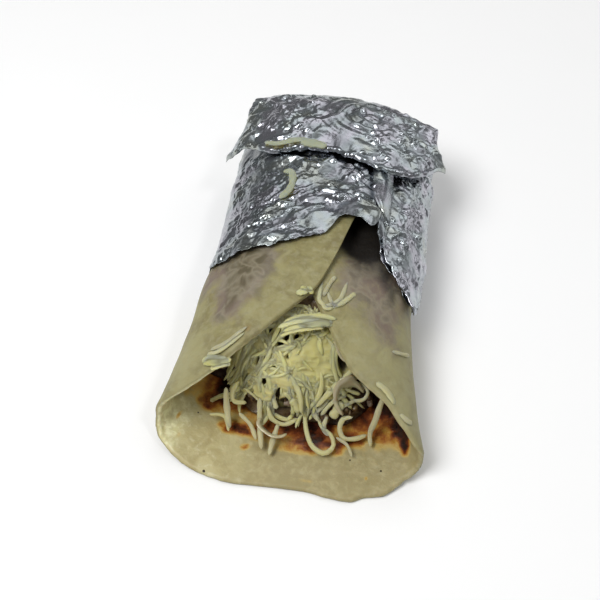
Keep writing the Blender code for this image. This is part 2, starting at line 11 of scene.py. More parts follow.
import bpy
import numpy as np
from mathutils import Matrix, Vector


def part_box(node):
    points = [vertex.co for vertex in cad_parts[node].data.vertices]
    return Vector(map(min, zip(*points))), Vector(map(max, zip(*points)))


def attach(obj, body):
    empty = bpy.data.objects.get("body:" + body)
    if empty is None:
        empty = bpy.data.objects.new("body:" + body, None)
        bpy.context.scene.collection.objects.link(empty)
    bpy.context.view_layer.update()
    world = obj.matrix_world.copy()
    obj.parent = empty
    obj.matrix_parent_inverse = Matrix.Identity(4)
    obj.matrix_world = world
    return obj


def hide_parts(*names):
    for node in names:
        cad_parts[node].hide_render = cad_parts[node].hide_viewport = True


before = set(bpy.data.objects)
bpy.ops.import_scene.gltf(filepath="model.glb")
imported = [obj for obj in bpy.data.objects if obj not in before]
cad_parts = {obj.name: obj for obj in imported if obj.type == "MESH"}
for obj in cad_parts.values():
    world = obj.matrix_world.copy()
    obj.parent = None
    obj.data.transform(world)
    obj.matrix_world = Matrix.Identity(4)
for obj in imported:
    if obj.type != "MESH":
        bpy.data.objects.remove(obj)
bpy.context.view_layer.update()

PI = math.pi
MM = 0.001
DEGREE = PI / 180.0


def in_units(units, rows):
    """Rows of numbers as an array, each column times its unit."""
    return np.array(rows, float) * np.array(units)


# The roll's own laws, as in the part's source: thickness, then (y, size) along the roll
BREAD_THICKNESS = 0.0018
BREAD_END_Y = 0.118
FOIL_THICKNESS = 0.0009
GAP = 0.0005
LAYER = BREAD_THICKNESS + GAP
FOIL_LIFT = FOIL_THICKNESS + GAP
LEFT_HALF = in_units((MM, MM), (
    (0, 45.2), (10, 43.6), (22.7, 40.6), (32, 39.5), (42, 38.1), (54, 37), (63, 36), (72, 34.4), (93, 34.5),
    (110, 34.7), (122, 34.3), (150, 33.5),
))
RIGHT_HALF = in_units((MM, MM), (
    (0, 44.6), (12, 41), (20, 38.7), (33, 36.6), (44, 34.7), (52, 33.8), (60, 33.1), (80, 33.3), (105, 33.4),
    (122, 33.8), (150, 33.5),
))
SIDE_HEIGHT = in_units((MM, MM), ((0, 10), (30, 12), (60, 13.8), (150, 14)))
CROWN_HEIGHT = in_units((MM, MM), (
    (0, 15), (25, 20), (48, 23.2), (80, 20.5), (115, 18.8), (150, 17),
))
BASE_RISE = (0.046, 0.058)
UNDER_POWER = 3.4
CROWN_POWER = 2.3
UNDER_SINK = 0.0006
MIDDLE_HEIGHT = 0.016
# The bread's front rim: (wrap angle, y)
RIM = in_units((1, MM), (
    (-3.56, 96), (-3.45, 87), (-3.38, 77.5), (-3.3, 62.5), (-3.23, 53.5), (-3.12, 45.2), (-2.99, 38),
    (-2.88, 33), (-2.76, 28), (-2.66, 24.6), (-2.56, 22), (-2.44, 20), (-2.29, 17.8), (-2.1, 15.6),
    (-1.5, 13.4), (-1.2, 10.4), (-0.82, 6.4), (-0.55, 2.7), (-0.3, 0.5), (-0.12, -0.2), (0.04, 0.4),
    (0.14, -0.7), (0.25, -1.1), (0.38, 0.8), (0.56, 2.2), (0.82, 6.4), (1.25, 10.2), (1.6, 11.6),
    (1.95, 11.2), (2.07, 12.8), (2.21, 14.8), (2.31, 17.6), (2.43, 20.3), (2.56, 22.8), (2.75, 27.8),
    (2.84, 32.5), (2.95, 38.9), (3.08, 47), (3.2, 56), (3.32, 69), (3.44, 82),
))
RIM_BULGE = 0.0019
FLAP_RAMP = (-PI + 0.85, -PI + 0.4)
FLAP_DENT = 0.0034
SLOPE_FOOT_Y = 0.024
SLOPE_RUN = 0.82
SLOPE_BACK = 0.011
FILLING_END_Y = 0.112
MOUND_CENTRE = (-0.001, 0.0345)
MOUND_HALF_SIZE = (0.0185, 0.0108)
MOUND_HEIGHT = 0.0062
LUMP_CENTRE = (0.005, 0.035)
# The melted core: how much shorter its front is, how far it stands out, and how deep its gaps go
CORE_SQUEEZE = 0.86
CORE_LIFT = 0.001
DEEPEST_GAP = 0.0032
SPREAD_CENTRE = (-0.0025, 0.0354)
SPREAD_HALF_SIZE = (0.0185, 0.011)
# A random shred: its run along y against x, least height over the heap, and the room it needs
SHRED_SQUASH = 0.78
SHRED_LIFT = 0.0002
SHRED_ROOM = 0.0009
# Left of this x, random shreds lie only at the back of the heap
LEFT_LIMIT = -0.0226
# The way up from the slope, for what stands on it
SLOPE_UP = np.array([0.0, -0.45, 0.89])
# The onion slices: (x, y, radius, first turn, sweep)
ONIONS = in_units((MM, MM, MM, 1, 1), (
    (-5, 20.5, 5.5, 2.9, 2.6), (18.5, 28.5, 6, 1.2, 2.9), (15, 38.5, 4.5, 2.6, 3),
))
ONION_WIDTH = 0.0034
ONION_THICKNESS = 0.0013
# Where the sleeve starts: (wrap angle, y)
FOIL_FRONT = in_units((1, MM), (
    (-PI, 70.5), (-2.93, 64), (-2.72, 61.2), (-2.36, 61.8), (-2.15, 61.2), (-1.77, 66), (-1.2, 64), (0, 63),
    (1.2, 61), (1.8, 57.2), (2, 53.8), (2.11, 54.5), (2.24, 59), (2.39, 61.2), (2.55, 66.3), (2.66, 74.2),
    (2.76, 78), (2.92, 78.4), (3.03, 76.5), (PI, 70.5),
))
CLOSE_START_Y = 0.121
MEET_HEIGHT = 0.0265
FOLD_HEIGHT = 0.0318
REAR_EDGE = in_units((MM, MM), (
    (-34, 142), (-23, 144.6), (-8.5, 145.5), (2.3, 145.5), (9.6, 144.9), (17, 142.8), (24.4, 139.8),
    (35, 135.5),
))
FOIL_TOP = BREAD_THICKNESS + 2.0 * GAP + FOIL_THICKNESS
HOLLOW_DEPTH = 0.0034
TAIL_THICKNESS = 0.0013
TAIL_CLEARANCE = 0.001
TAIL_SHOULDER = 0.55
SEAM_STEP = 0.0007
WALL_DROP = 0.004
TAIL_LENGTH = 0.04
OVERLAP_END_Y = 0.1185
# How far the crumple may sink into each foil surface, and how far in the sleeve's inner face lies
SLEEVE_SINK, OVERLAP_SINK, TAIL_SINK = 0.00045, 0.0003, 0.0004
INNER_STEP = 0.00045

# How finely each surface is divided
BREAD_AROUND, BREAD_ALONG = 330, 105
CORE_AROUND, CORE_FRONT, CORE_BACK = 240, 90, 12
SHRED_POINTS, SHRED_SIDES, SHRED_TOTAL = 22, 8, 640
SLEEVE_TOP, SLEEVE_UNDER, SLEEVE_ALONG, SLEEVE_CLOSE = 460, 90, 210, 36
INNER_LOOPS = 12
OVERLAP_AROUND, OVERLAP_ALONG = 190, 225
TAIL_ACROSS, TAIL_ALONG = 300, 165


def through(x, stops):
    """A smooth curve through (x, value) stops: a cubic for each stretch, sloped as its neighbours lie."""
    at, value = np.array(stops).T
    slope = np.gradient(value, at)
    x = np.clip(np.asarray(x, float), at[0], at[-1])
    k = np.clip(np.searchsorted(at, x, side="right") - 1, 0, len(at) - 2)
    width = at[k + 1] - at[k]
    t = (x - at[k]) / width
    start = (1.0 + 2.0 * t) * (1.0 - t) ** 2 * value[k] + t * (1.0 - t) ** 2 * width * slope[k]
    return start + t**2 * (3.0 - 2.0 * t) * value[k + 1] + t**2 * (t - 1.0) * width * slope[k + 1]


def smooth(t):
    """0 below t = 0, 1 above t = 1, and the S-curve 3t^2 - 2t^3 between."""
    t = np.clip(t, 0.0, 1.0)
    return t * t * (3.0 - 2.0 * t)


def bell(distance):
    """exp(-distance^2), 1 in the middle and almost nothing past 2."""
    return np.exp(-np.square(distance))


def spot(u, v, at_u, at_v, reach_u, reach_v, power=1.0):
    """1 in the middle of an oval, fading to nothing past its reaches: the bell of the distance in reaches."""
    return bell(np.hypot((u - at_u) / reach_u, (v - at_v) / reach_v) ** power)


def painted(u, v, ovals, power=1.0):
    """Ovals painted over each other: 1 - product of (1 - strength * spot)."""
    clear = 1.0
    for *oval, strength in ovals:
        clear = clear * (1.0 - strength * spot(u, v, *oval, power))
    return 1.0 - clear


def turned_axes(u, v, direction):
    """How far along a direction a place is, and how far to its left."""
    cosine, sine = math.cos(direction), math.sin(direction)
    return u * cosine + v * sine, v * cosine - u * sine


def base_height(y):
    """How far the bread's underside is above the table."""
    return FOIL_LIFT * smooth((np.asarray(y) - BASE_RISE[0]) / (BASE_RISE[1] - BASE_RISE[0]))


def section(angle, y, outward):
    """A point of the roll's outer face, moved outward by that much. Its section is a superellipse."""
    sine, cosine = np.sin(angle), np.cos(angle)
    half = np.where(sine < 0.0, through(y, LEFT_HALF), through(y, RIGHT_HALF)) + outward
    low = through(y, SIDE_HEIGHT) + UNDER_SINK
    side = base_height(y) - UNDER_SINK + low
    crown = through(y, CROWN_HEIGHT) + outward
    under = cosine > 0
    power = np.where(under, UNDER_POWER, CROWN_POWER)
    x = half * np.sign(sine) * np.abs(sine) ** (2.0 / power)
    z = side - np.where(under, low + outward, crown) * np.sign(cosine) * np.abs(cosine) ** (2.0 / power)
    return np.stack([x, y + 0.0 * x, np.maximum(z, base_height(y) - outward)], axis=-1)


def bread_lift(angle):
    """How far the left flap is raised to lie on the right one."""
    start, end = FLAP_RAMP
    return LAYER * smooth((angle - start) / (end - start))


def flap_dent(angle, y):
    """How far the right flap sinks beside the left one's edge, under the foil's hanging corner."""
    return FLAP_DENT * bell((angle - 2.78) / 0.17) * smooth((y - 0.06) / 0.012) * (angle > 0.0)


def flat(u, v=0.0):
    """Places (u, v, 0) of a flat pattern."""
    return np.stack(np.broadcast_arrays(u, v, 0.0), axis=-1)


def cloud(points, size, seed, repeats=1):
    """Smooth random values from -1 to 1 over space.

    Each corner of a lattice of cubes of that size has a random value, blended across the cube with an
    S-curve. Each repeat adds the same at half the size and half the strength.
    """
    total = 0.0
    for repeat in range(repeats):
        corners = np.random.default_rng(seed + repeat).uniform(-1.0, 1.0, (32, 32, 32))
        at = np.asarray(points) * (2.0**repeat / size)
        cell = np.floor(at).astype(int)
        part = smooth(at - cell)
        for corner in np.ndindex(2, 2, 2):
            near = np.where(np.array(corner, bool), part, 1.0 - part).prod(axis=-1)
            i, j, k = np.moveaxis((cell + corner) % 32, -1, 0)
            total = total + near * corners[i, j, k] * 0.5**repeat
    return total


def cad_shift():
    """From the roll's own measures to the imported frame: where the bread solid's lowest corner has gone."""
    angle = np.linspace(RIM[0][0], RIM[-1][0], 47)[:, None]
    rim = through(angle, RIM)
    y = rim + (BREAD_END_Y - rim) * np.linspace(0.0, 1.0, 13)[None, :] ** 1.35
    corner = section(angle + 0.0 * y, y, bread_lift(angle + 0.0 * y)).reshape(-1, 3).min(axis=0)
    shift = np.array(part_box("flatbread")[0]) - corner
    return np.array([shift[0], shift[1], 0.0])


SHIFT = cad_shift()


# Meshes


def grid_faces(rows, columns, round_columns=False):
    """The quads between a grid's neighbours, joined round where asked."""
    index = np.arange(rows * columns).reshape(rows, columns)
    if round_columns:
        index = np.concatenate([index, index[:, :1]], axis=1)
    return np.stack([index[:-1, :-1], index[1:, :-1], index[1:, 1:], index[:-1, 1:]], axis=-1).reshape(-1, 4)


def hose_faces(rows, columns):
    """A hose of loops and a fan at each end, to the poles: the two points that follow the loops'."""
    first = np.arange(columns)
    last = first + (rows - 1) * columns
    pole = rows * columns
    start = np.stack([first, np.roll(first, -1), 0 * first + pole], axis=-1)
    end = np.stack([np.roll(last, -1), last, 0 * last + pole + 1], axis=-1)
    return [grid_faces(rows, columns, round_columns=True), start, end]


def hose_points(loops):
    """The points of the loops, then the middles of the first one and the last."""
    return np.concatenate([loops.reshape(-1, 3), [loops[0].mean(axis=0), loops[-1].mean(axis=0)]])


def copies(groups, count, size):
    """The faces of count like pieces of that many points each, one after the other."""
    offsets = (np.arange(count) * size)[:, None, None]
    return [(faces + offsets).reshape(-1, faces.shape[1]) for faces in groups]


def sheet_faces(rows, columns):
    """Faces of a solid between two like grids, the second one's points after the first one's."""
    count = rows * columns
    index = np.arange(count).reshape(rows, columns)
    front = grid_faces(rows, columns)
    border = np.concatenate([index[:, 0], index[-1, 1:], index[-2::-1, -1], index[0, -2:0:-1]])
    after = np.roll(border, -1)
    sides = np.stack([border, border + count, after + count, after], axis=-1)
    return [front, front[:, ::-1] + count, sides]


def zip_cap(loop, first_index):
    """Triangles that close a hose's last loop, between its two sides, from its least x to its greatest."""
    count = len(loop)
    first, last = int(np.argmin(loop[:, 0])), int(np.argmax(loop[:, 0]))
    one = [(first + k) % count for k in range((last - first) % count + 1)]
    other = [(first - k) % count for k in range((first - last) % count + 1)]
    made = []
    i = j = 0
    while i + 1 < len(one) or j + 1 < len(other):
        if j + 1 == len(other) or (i + 1 < len(one) and loop[one[i + 1], 0] <= loop[other[j + 1], 0]):
            made.append((other[j], one[i + 1], one[i]))
            i += 1
        else:
            made.append((other[j], other[j + 1], one[i]))
            j += 1
    return np.array([face for face in made if len(set(face)) == 3]) + first_index


def surface_normals(grid, round_columns=False):
    """Unit normals of a grid of points, from the differences of its neighbours both ways."""
    if round_columns:
        across = np.roll(grid, -1, axis=1) - np.roll(grid, 1, axis=1)
    else:
        across = np.gradient(grid, axis=1)
    normal = np.cross(np.gradient(grid, axis=0), across)
    return normal / (np.linalg.norm(normal, axis=-1)[..., None] + 1e-12)


def facing_out(points, groups):
    """The faces, turned round if the volume that they enclose comes out negative."""
    volume = 0.0
    for faces in groups:
        for k in range(1, faces.shape[1] - 1):
            a, b, c = points[faces[:, 0]], points[faces[:, k]], points[faces[:, k + 1]]
            volume += (a * np.cross(b, c)).sum()
    return groups if volume > 0.0 else [faces[:, ::-1] for faces in groups]


def add_object(name, data):
    """A new object in the scene."""
    made = bpy.data.objects.new(name, data)
    bpy.context.scene.collection.objects.link(made)
    return made


def put_mesh(name, points, groups, finish, nodes, marks=None):
    """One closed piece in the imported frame, standing for the named nodes. marks: a number for each point."""
    points = np.asarray(points, float).reshape(-1, 3) + SHIFT
    points[:, 2] = np.maximum(points[:, 2], 0.0)
    faces = [face for group in facing_out(points, groups) for face in group.tolist()]
    mesh = bpy.data.meshes.new(name)
    mesh.from_pydata(points.tolist(), [], faces)
    for mark, values in (marks or {}).items():
        layer = mesh.attributes.new(mark, "FLOAT", "POINT")
        layer.data.foreach_set("value", np.asarray(values, np.float32).ravel())
    mesh.shade_smooth()
    mesh.materials.append(finish)
    piece = add_object(name, mesh)
    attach(piece, "root")
    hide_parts(*nodes)
    return piece


# Finishes


def maths(operation):
    """A method of Signal that adds a Math node."""

    def add(self, *others):
        return self.finish.node("ShaderNodeMath", {"operation": operation}, dict(enumerate((self, *others))))

    return add


class Signal:
    """A shader socket that carries a number or a colour. Operators on numbers add Math nodes."""

    __add__ = __radd__ = maths("ADD")
    __mul__ = __rmul__ = maths("MULTIPLY")
    __sub__ = maths("SUBTRACT")
    at_least, at_most, away = maths("MAXIMUM"), maths("MINIMUM"), maths("ABSOLUTE")

    def __init__(self, finish, socket):
        self.finish, self.socket = finish, socket

    def __rsub__(self, other):
        return self.finish.node("ShaderNodeMath", {"operation": "SUBTRACT"}, {0: other, 1: self})

    def step(self, low, high):
        """0 below low, 1 above high, and an S-curve between."""
        values = {"Value": self, "From Min": low, "From Max": high}
        return self.finish.node("ShaderNodeMapRange", {"interpolation_type": "SMOOTHSTEP"}, values)


class Finish:
    """A procedural material, made of nodes that read Object coordinates and the pieces' own marks."""

    def __init__(self, name):
        self.material = bpy.data.materials.new(name)
        self.material.use_nodes = True
        self.tree = self.material.node_tree
        self.shader = self.tree.nodes["Principled BSDF"]
        self.place = self.node("ShaderNodeTexCoord", output="Object")

    def feed(self, socket, value):
        """Links a signal to a socket, or sets the socket's own value."""
        if isinstance(value, Signal):
            self.tree.links.new(value.socket, socket)
        elif socket.type == "RGBA" and len(value) == 3:
            socket.default_value = (*value, 1.0)
        else:
            socket.default_value = value

    def node(self, kind, settings=None, values=None, output=0):
        """Any node: its settings, what its inputs get, and which output to read."""
        made = self.tree.nodes.new(kind)
        for key, value in (settings or {}).items():
            setattr(made, key, value)
        for key, value in (values or {}).items():
            self.feed(made.inputs[key], value)
        return Signal(self, made.outputs[output])

    def noise(self, size, detail=3.0, roughness=0.6, distortion=0.0):
        """Cloudy noise from 0 to 1, its features about that many metres across."""
        values = {"Vector": self.place, "Scale": 1.0 / size, "Detail": detail, "Roughness": roughness}
        return self.node("ShaderNodeTexNoise", {}, values | {"Distortion": distortion})

    def crackle(self, size):
        """Distance to the border between scattered cells, in cell sizes."""
        values = {"Vector": self.place, "Scale": 1.0 / size}
        return self.node("ShaderNodeTexVoronoi", {"feature": "DISTANCE_TO_EDGE"}, values)

    def mark(self, name):
        """A number that the mesh holds for each point."""
        return self.node("ShaderNodeAttribute", {"attribute_name": name}, output="Fac")

    def mix(self, share, one, other):
        """From colour one to colour other, as share goes from 0 to 1."""
        return self.node("ShaderNodeMix", {"data_type": "RGBA"}, {0: share, 6: one, 7: other}, output=2)

    def ramp(self, share, stops):
        """The colour at a share of the way through (share, colour) stops."""
        made = self.node("ShaderNodeValToRGB", {}, {"Fac": share})
        elements = made.socket.node.color_ramp.elements
        while len(elements) < len(stops):
            elements.new(0.5)
        for element, (at, colour) in zip(elements, stops):
            element.position, element.color = at, (*colour, 1.0)
        return made

    def bump(self, height, strength, distance):
        """A relief of that height, as a normal."""
        return self.node("ShaderNodeBump", {}, {"Height": height, "Strength": strength, "Distance": distance})

    def set(self, **values):
        """Sockets of the shader, by their names with underscores for spaces."""
        for key, value in values.items():
            self.feed(self.shader.inputs[key.replace("_", " ")], value)
        return self.material


TOAST_STOPS = (
    (0.0, (0.4, 0.33, 0.17)), (0.16, (0.5, 0.37, 0.12)), (0.32, (0.43, 0.22, 0.04)),
    (0.5, (0.27, 0.088, 0.02)), (0.66, (0.125, 0.03, 0.01)), (0.82, (0.036, 0.011, 0.006)),
    (1.0, (0.008, 0.006, 0.006)),
)
CHEESE_STOPS = (
    (0.0, (0.345, 0.312, 0.19)), (0.25, (0.45, 0.415, 0.265)), (0.5, (0.56, 0.518, 0.24)),
    (0.75, (0.5, 0.462, 0.18)), (1.0, (0.57, 0.57, 0.345)),
)
SAUCE_STOPS = (
    (0.25, (0.03, 0.013, 0.008)), (0.42, (0.085, 0.046, 0.019)), (0.55, (0.15, 0.102, 0.04)),
    (0.7, (0.2, 0.14, 0.085)), (0.88, (0.3, 0.235, 0.18)),
)
FOIL_STOPS = ((0.36, (0.44, 0.466, 0.432)), (0.48, (0.432, 0.482, 0.5)), (0.62, (0.476, 0.472, 0.524)))


def bread_finish():
    """Soft flatbread: cream and mottled, greyer outside where the filling shows through, browned inside."""
    f = Finish("flatbread_dough")
    toast, stain, inside, dark, light = map(f.mark, ("toast", "stain", "inside", "dark", "light"))
    fine = f.noise(1.1 * MM)
    cloudy = f.noise(7.0 * MM, 4.0, 0.6, 0.6)
    small = f.noise(2.4 * MM, 3.0, 0.6, 0.3)
    wisps = f.noise(6.0 * MM, 2.0, 0.5, 0.5)
    browned = toast * 0.94 + (small - 0.5) * 0.75 * toast.step(0.02, 0.35)
    browned = browned + (fine - 0.5) * 0.16 * toast.step(0.05, 0.3)
    floor = f.ramp(browned.at_least(0.0), TOAST_STOPS)
    # painted light: the browned floor on the left inner wall lifted towards bright orange, where the flap
    # shades it
    floor = f.mix(f.mark("painted_glow") * 0.45, floor, (0.9, 0.62, 0.17))
    pale = f.mix(cloudy.step(0.35, 0.7), (0.52, 0.464, 0.245), (0.4, 0.336, 0.16))
    pale = f.mix(small.step(0.52, 0.75) * 0.6, pale, (0.64, 0.6, 0.38))
    pale = f.mix(fine.step(0.55, 0.8) * 0.25, pale, (0.33, 0.27, 0.15))
    dusky = f.mix(small.step(0.4, 0.7), (0.322, 0.272, 0.132), (0.4, 0.345, 0.182))
    # painted light and shade: the inner face stays pale at the far left and turns duskier towards the right,
    # as if lit from the left
    pale = f.mix(f.mark("dimmed"), pale, dusky)
    # painted light and painted highlights: the left inner wall pale cream with brighter patches, where the
    # roll's walls shade it
    pale = f.mix(light, pale, f.mix(small.step(0.4, 0.66), (0.64, 0.6, 0.32), (0.86, 0.84, 0.54)))
    floor = f.mix(browned.step(0.03, 0.16), pale, floor)
    outer = f.mix(cloudy.step(0.36, 0.66), (0.292, 0.264, 0.118), (0.208, 0.18, 0.075))
    outer = f.mix(light, outer, (0.385, 0.362, 0.2))
    outer = f.mix(small.step(0.42, 0.75) * 0.65, outer, (0.345, 0.322, 0.18))
    shade = (stain * 1.15 + (cloudy - 0.5) * 1.1 + (small - 0.5) * 0.7).step(0.05, 0.95)
    outer = f.mix(shade, outer, f.mix(wisps.step(0.4, 0.65), (0.165, 0.138, 0.1), (0.19, 0.145, 0.113)))
    outer = f.mix(stain.step(0.8, 1.4) * 0.8, outer, (0.096, 0.08, 0.04))
    # painted highlights: thin pale streaks along the wisps' ridges on the stained outer face
    ridge_highlight = ((wisps - 0.5).away() * -8.0 + 1.0).at_least(0.0)
    outer = f.mix(ridge_highlight * shade * 0.6, outer, (0.3, 0.265, 0.185))
    outer = f.mix((fine - 0.5).step(0.08, 0.28) * (0.1 + shade * 0.35), outer, (0.135, 0.105, 0.07))
    outer = f.mix((browned * 1.4).step(0.05, 0.5) * 0.7, outer, (0.3, 0.19, 0.06))
    # painted shadow: the outer face goes near black under the foil's hanging corner
    painted_shadow = (dark * 1.25 + (small - 0.5) * 0.35 * dark.step(0.0, 0.3)).step(0.05, 0.95)
    outer = f.mix(painted_shadow, outer, (0.008, 0.006, 0.004))
    return f.set(
        Base_Color=f.mix(inside, outer, floor),
        Roughness=0.58 - 0.2 * inside * cloudy - 0.24 * toast.step(0.1, 0.5) - 0.18 * light * inside,
        Subsurface_Weight=0.15,
        Subsurface_Radius=(0.003, 0.0018, 0.0008),
        Subsurface_Scale=1.0,
        Specular_IOR_Level=0.35,
        Normal=f.bump(fine * 0.22 + small * 0.6 + cloudy * 0.8, 0.6, 0.0006),
    )


def cheese_finish():
    """Grated cheese: pale cream yellow, a little see-through, greyer and wetter shred by shred."""
    f = Finish("grated_cheese")
    fine, cloudy = f.noise(0.7 * MM), f.noise(4.0 * MM, 2.0, 0.5)
    colour = f.ramp(f.mark("tint") * 0.25 + 0.5, CHEESE_STOPS)
    colour = f.mix(cloudy.step(0.45, 0.75) * 0.4, colour, (0.58, 0.55, 0.3))
    colour = f.mix(fine.step(0.55, 0.8) * 0.2, colour, (0.4, 0.36, 0.18))
    # painted light: the heap's left and back made paler, where the left flap shades them
    colour = f.mix(f.mark("painted_light") * 0.85, colour, f.mix(fine, (0.83, 0.765, 0.34), (0.73, 0.665, 0.3)))
    colour = f.mix(f.mark("cool"), colour, f.mix(cloudy, (0.3, 0.325, 0.235), (0.37, 0.395, 0.295)))
    # painted shade: darker, warmer colour low in the heap, between the shreds and away from the melted lump
    colour = f.mix(f.mark("deep") * 0.5, colour, (0.4, 0.345, 0.14))
    # painted shade: near black down in the heap's dented pits
    colour = f.mix((f.mark("gap") + (fine - 0.5) * 0.3).step(0.1, 0.7), colour, (0.05, 0.034, 0.014))
    return f.set(
        Base_Color=colour,
        Roughness=0.36 + 0.25 * fine,
        Subsurface_Weight=0.65,
        Subsurface_Radius=(0.0036, 0.0029, 0.0014),
        Subsurface_Scale=1.0,
        Specular_IOR_Level=0.16,
        Normal=f.bump(fine * 0.5 + cloudy, 0.35, 0.0004),
    )


def filling_finish():
    """Sauced vegetables: dark brown and olive, with a wet sheen, greyish purple where it is onion."""
    f = Finish("sauced_filling")
    tint, fine, cloudy = f.mark("tint"), f.noise(0.9 * MM), f.noise(3.2 * MM, 3.0, 0.6, 0.8)
    sheen = (tint + 0.3).step(0.0, 0.4)
    colour = f.ramp(cloudy + tint * 0.5, SAUCE_STOPS)
    return f.set(
        Base_Color=f.mix(fine.step(0.55, 0.75) * 0.5, colour, (0.1, 0.035, 0.012)),
        Roughness=0.5 - 0.25 * sheen + 0.2 * fine,
        Specular_IOR_Level=0.35,
        Coat_Weight=sheen * 0.35,
        Coat_Roughness=0.12,
        Normal=f.bump(fine + cloudy * 1.5, 0.6, 0.0007),
    )


def onion_finish():
    """Softened onion: greyish purple at its skin side, nearly clear inside, and wet."""
    f = Finish("soft_onion")
    tint, streaks = f.mark("tint"), f.noise(1.4 * MM, 3.0, 0.6, 1.0)
    skin = (tint + (streaks - 0.5) * 0.9).step(0.1, 1.0)
    return f.set(
        Base_Color=f.mix(skin, (0.44, 0.4, 0.24), (0.4, 0.35, 0.21)),
        Roughness=0.16 + 0.14 * streaks,
        Subsurface_Weight=0.35,
        Subsurface_Radius=(0.002, 0.0012, 0.0012),
        Subsurface_Scale=1.0,
        Coat_Weight=0.8,
        Coat_Roughness=0.06,
        Normal=f.bump(streaks, 0.25, 0.0004),
    )


def foil_finish():
    """Kitchen foil: bare grey metal, dulled in patches, finely crackled, with painted shade in its folds'
    valleys, along grooves and under folds.
    """
    f = Finish("kitchen_foil")
    dimmed, fine, tone = f.noise(6.0 * MM), f.noise(0.55 * MM, 4.0, 0.6), f.noise(9.0 * MM, 2.0, 0.5)
    colour = f.ramp(tone, FOIL_STOPS)
    colour = f.mix(dimmed.step(0.4, 0.7) * 0.6, colour, (0.34, 0.365, 0.395))
    # painted shade: the foil's colour goes towards near black where the mesh marks valleys, grooves and the
    # gaps under folds
    colour = f.mix(f.mark("painted_shade").at_most(1.0), colour, (0.075, 0.085, 0.1))
    height = fine * 0.3 + f.crackle(1.5 * MM).at_most(0.35) * 0.9 + f.crackle(0.7 * MM).at_most(0.3) * 0.35
    return f.set(
        Base_Color=colour,
        Metallic=1.0,
        Roughness=0.2 + 0.14 * dimmed.step(0.4, 0.75) + 0.05 * fine,
        Normal=f.bump(height, 0.16, 0.0004),
    )


def speck_finish():
    """Burnt crumbs: near black, matt and pitted."""
    f = Finish("burnt_crumb")
    fine = f.noise(0.3 * MM)
    colour = f.mix(fine, (0.012, 0.009, 0.007), (0.05, 0.028, 0.016))
    return f.set(Base_Color=colour, Roughness=0.6 + 0.2 * fine, Normal=f.bump(fine, 0.6, 0.0002))


def floor_finish():
    """A plain pale table, very slightly uneven in tone."""
    f = Finish("pale_table")
    grain = f.noise(30.0 * MM, 2.0, 0.5)
    colour = f.mix(grain, (0.94, 0.94, 0.94), (0.95, 0.95, 0.95))
    return f.set(Base_Color=colour, Roughness=0.85 + 0.05 * grain, Specular_IOR_Level=0.1)


# Bread

# Ovals on the bread: (wrap angle, y, reach in angle, reach in y, how much). Browned on the inner face
TOASTED = in_units((1, MM, 1, MM, 1), (
    (-1.16, 28, 0.11, 3, 0.16), (-1.02, 31.8, 0.12, 4, 0.17), (-0.9, 30.5, 0.1, 4.5, 0.16),
    (-0.84, 35.2, 0.1, 3.6, 0.36), (-0.74, 32.5, 0.09, 5, 0.52), (-0.66, 38.8, 0.14, 3.4, 0.97),
    (-0.54, 33.5, 0.1, 4.2, 0.95), (-0.72, 27, 0.08, 3, 0.52), (-0.58, 27.2, 0.08, 2.6, 0.64),
    (-0.66, 24.3, 0.09, 1.1, 0.62), (-0.8, 26.2, 0.05, 1.6, 0.55), (-0.4, 31, 0.18, 6, 0.9),
    (-0.38, 19.2, 0.05, 1.2, 0.44), (-0.27, 18.1, 0.08, 2, 0.85), (-0.18, 17.2, 0.055, 1.6, 0.74),
    (-0.14, 11.9, 0.028, 1, 0.44), (-0.09, 19.6, 0.045, 3.4, 0.58), (-1.04, 18.8, 0.04, 1.4, 0.3),
    (-0.01, 19.6, 0.05, 3.4, 0.68), (0.03, 15.7, 0.042, 1.8, 0.86), (0.08, 18.6, 0.06, 3, 0.8),
    (0.06, 23.2, 0.08, 4, 0.84), (0.14, 16.8, 0.05, 2, 0.68), (0.21, 16.6, 0.05, 2, 0.66),
    (0.26, 19.2, 0.06, 2.6, 0.66), (0.33, 19.3, 0.06, 2.4, 0.78), (0.42, 19, 0.06, 2, 0.44),
    (0.1, 28.5, 0.4, 5.5, 0.88), (0.42, 25.2, 0.1, 4, 0.46), (0.44, 29.2, 0.1, 3.6, 0.52),
    (0.6, 22.8, 0.12, 4, 0.42), (0.72, 21.8, 0.11, 3.6, 0.42), (0.6, 33, 0.12, 3.8, 0.86),
    (0.76, 31.2, 0.13, 5, 0.96), (0.9, 34.5, 0.16, 5, 0.92), (0.92, 28, 0.09, 3.6, 0.72),
    (1, 25.7, 0.13, 4.2, 1), (1.09, 23.8, 0.13, 3.6, 1), (1.18, 27.5, 0.14, 4.6, 0.95),
    (1.1, 19, 0.09, 2.8, 0.98), (1.2, 21.2, 0.12, 3.4, 0.97), (0.9, 20.5, 0.07, 2.2, 0.34),
    (1.34, 23.5, 0.12, 3.4, 0.8), (0.41, 7.2, 0.02, 0.8, 0.3), (0.05, 4.2, 0.02, 0.7, 0.18),
    (-0.9, 12.5, 0.05, 2, 0.1), (0.03, 13.4, 0.07, 1.6, 0.2), (0.17, 13.8, 0.06, 1.4, 0.18),
    (-0.2, 20, 0.06, 1.6, 0.6),
))
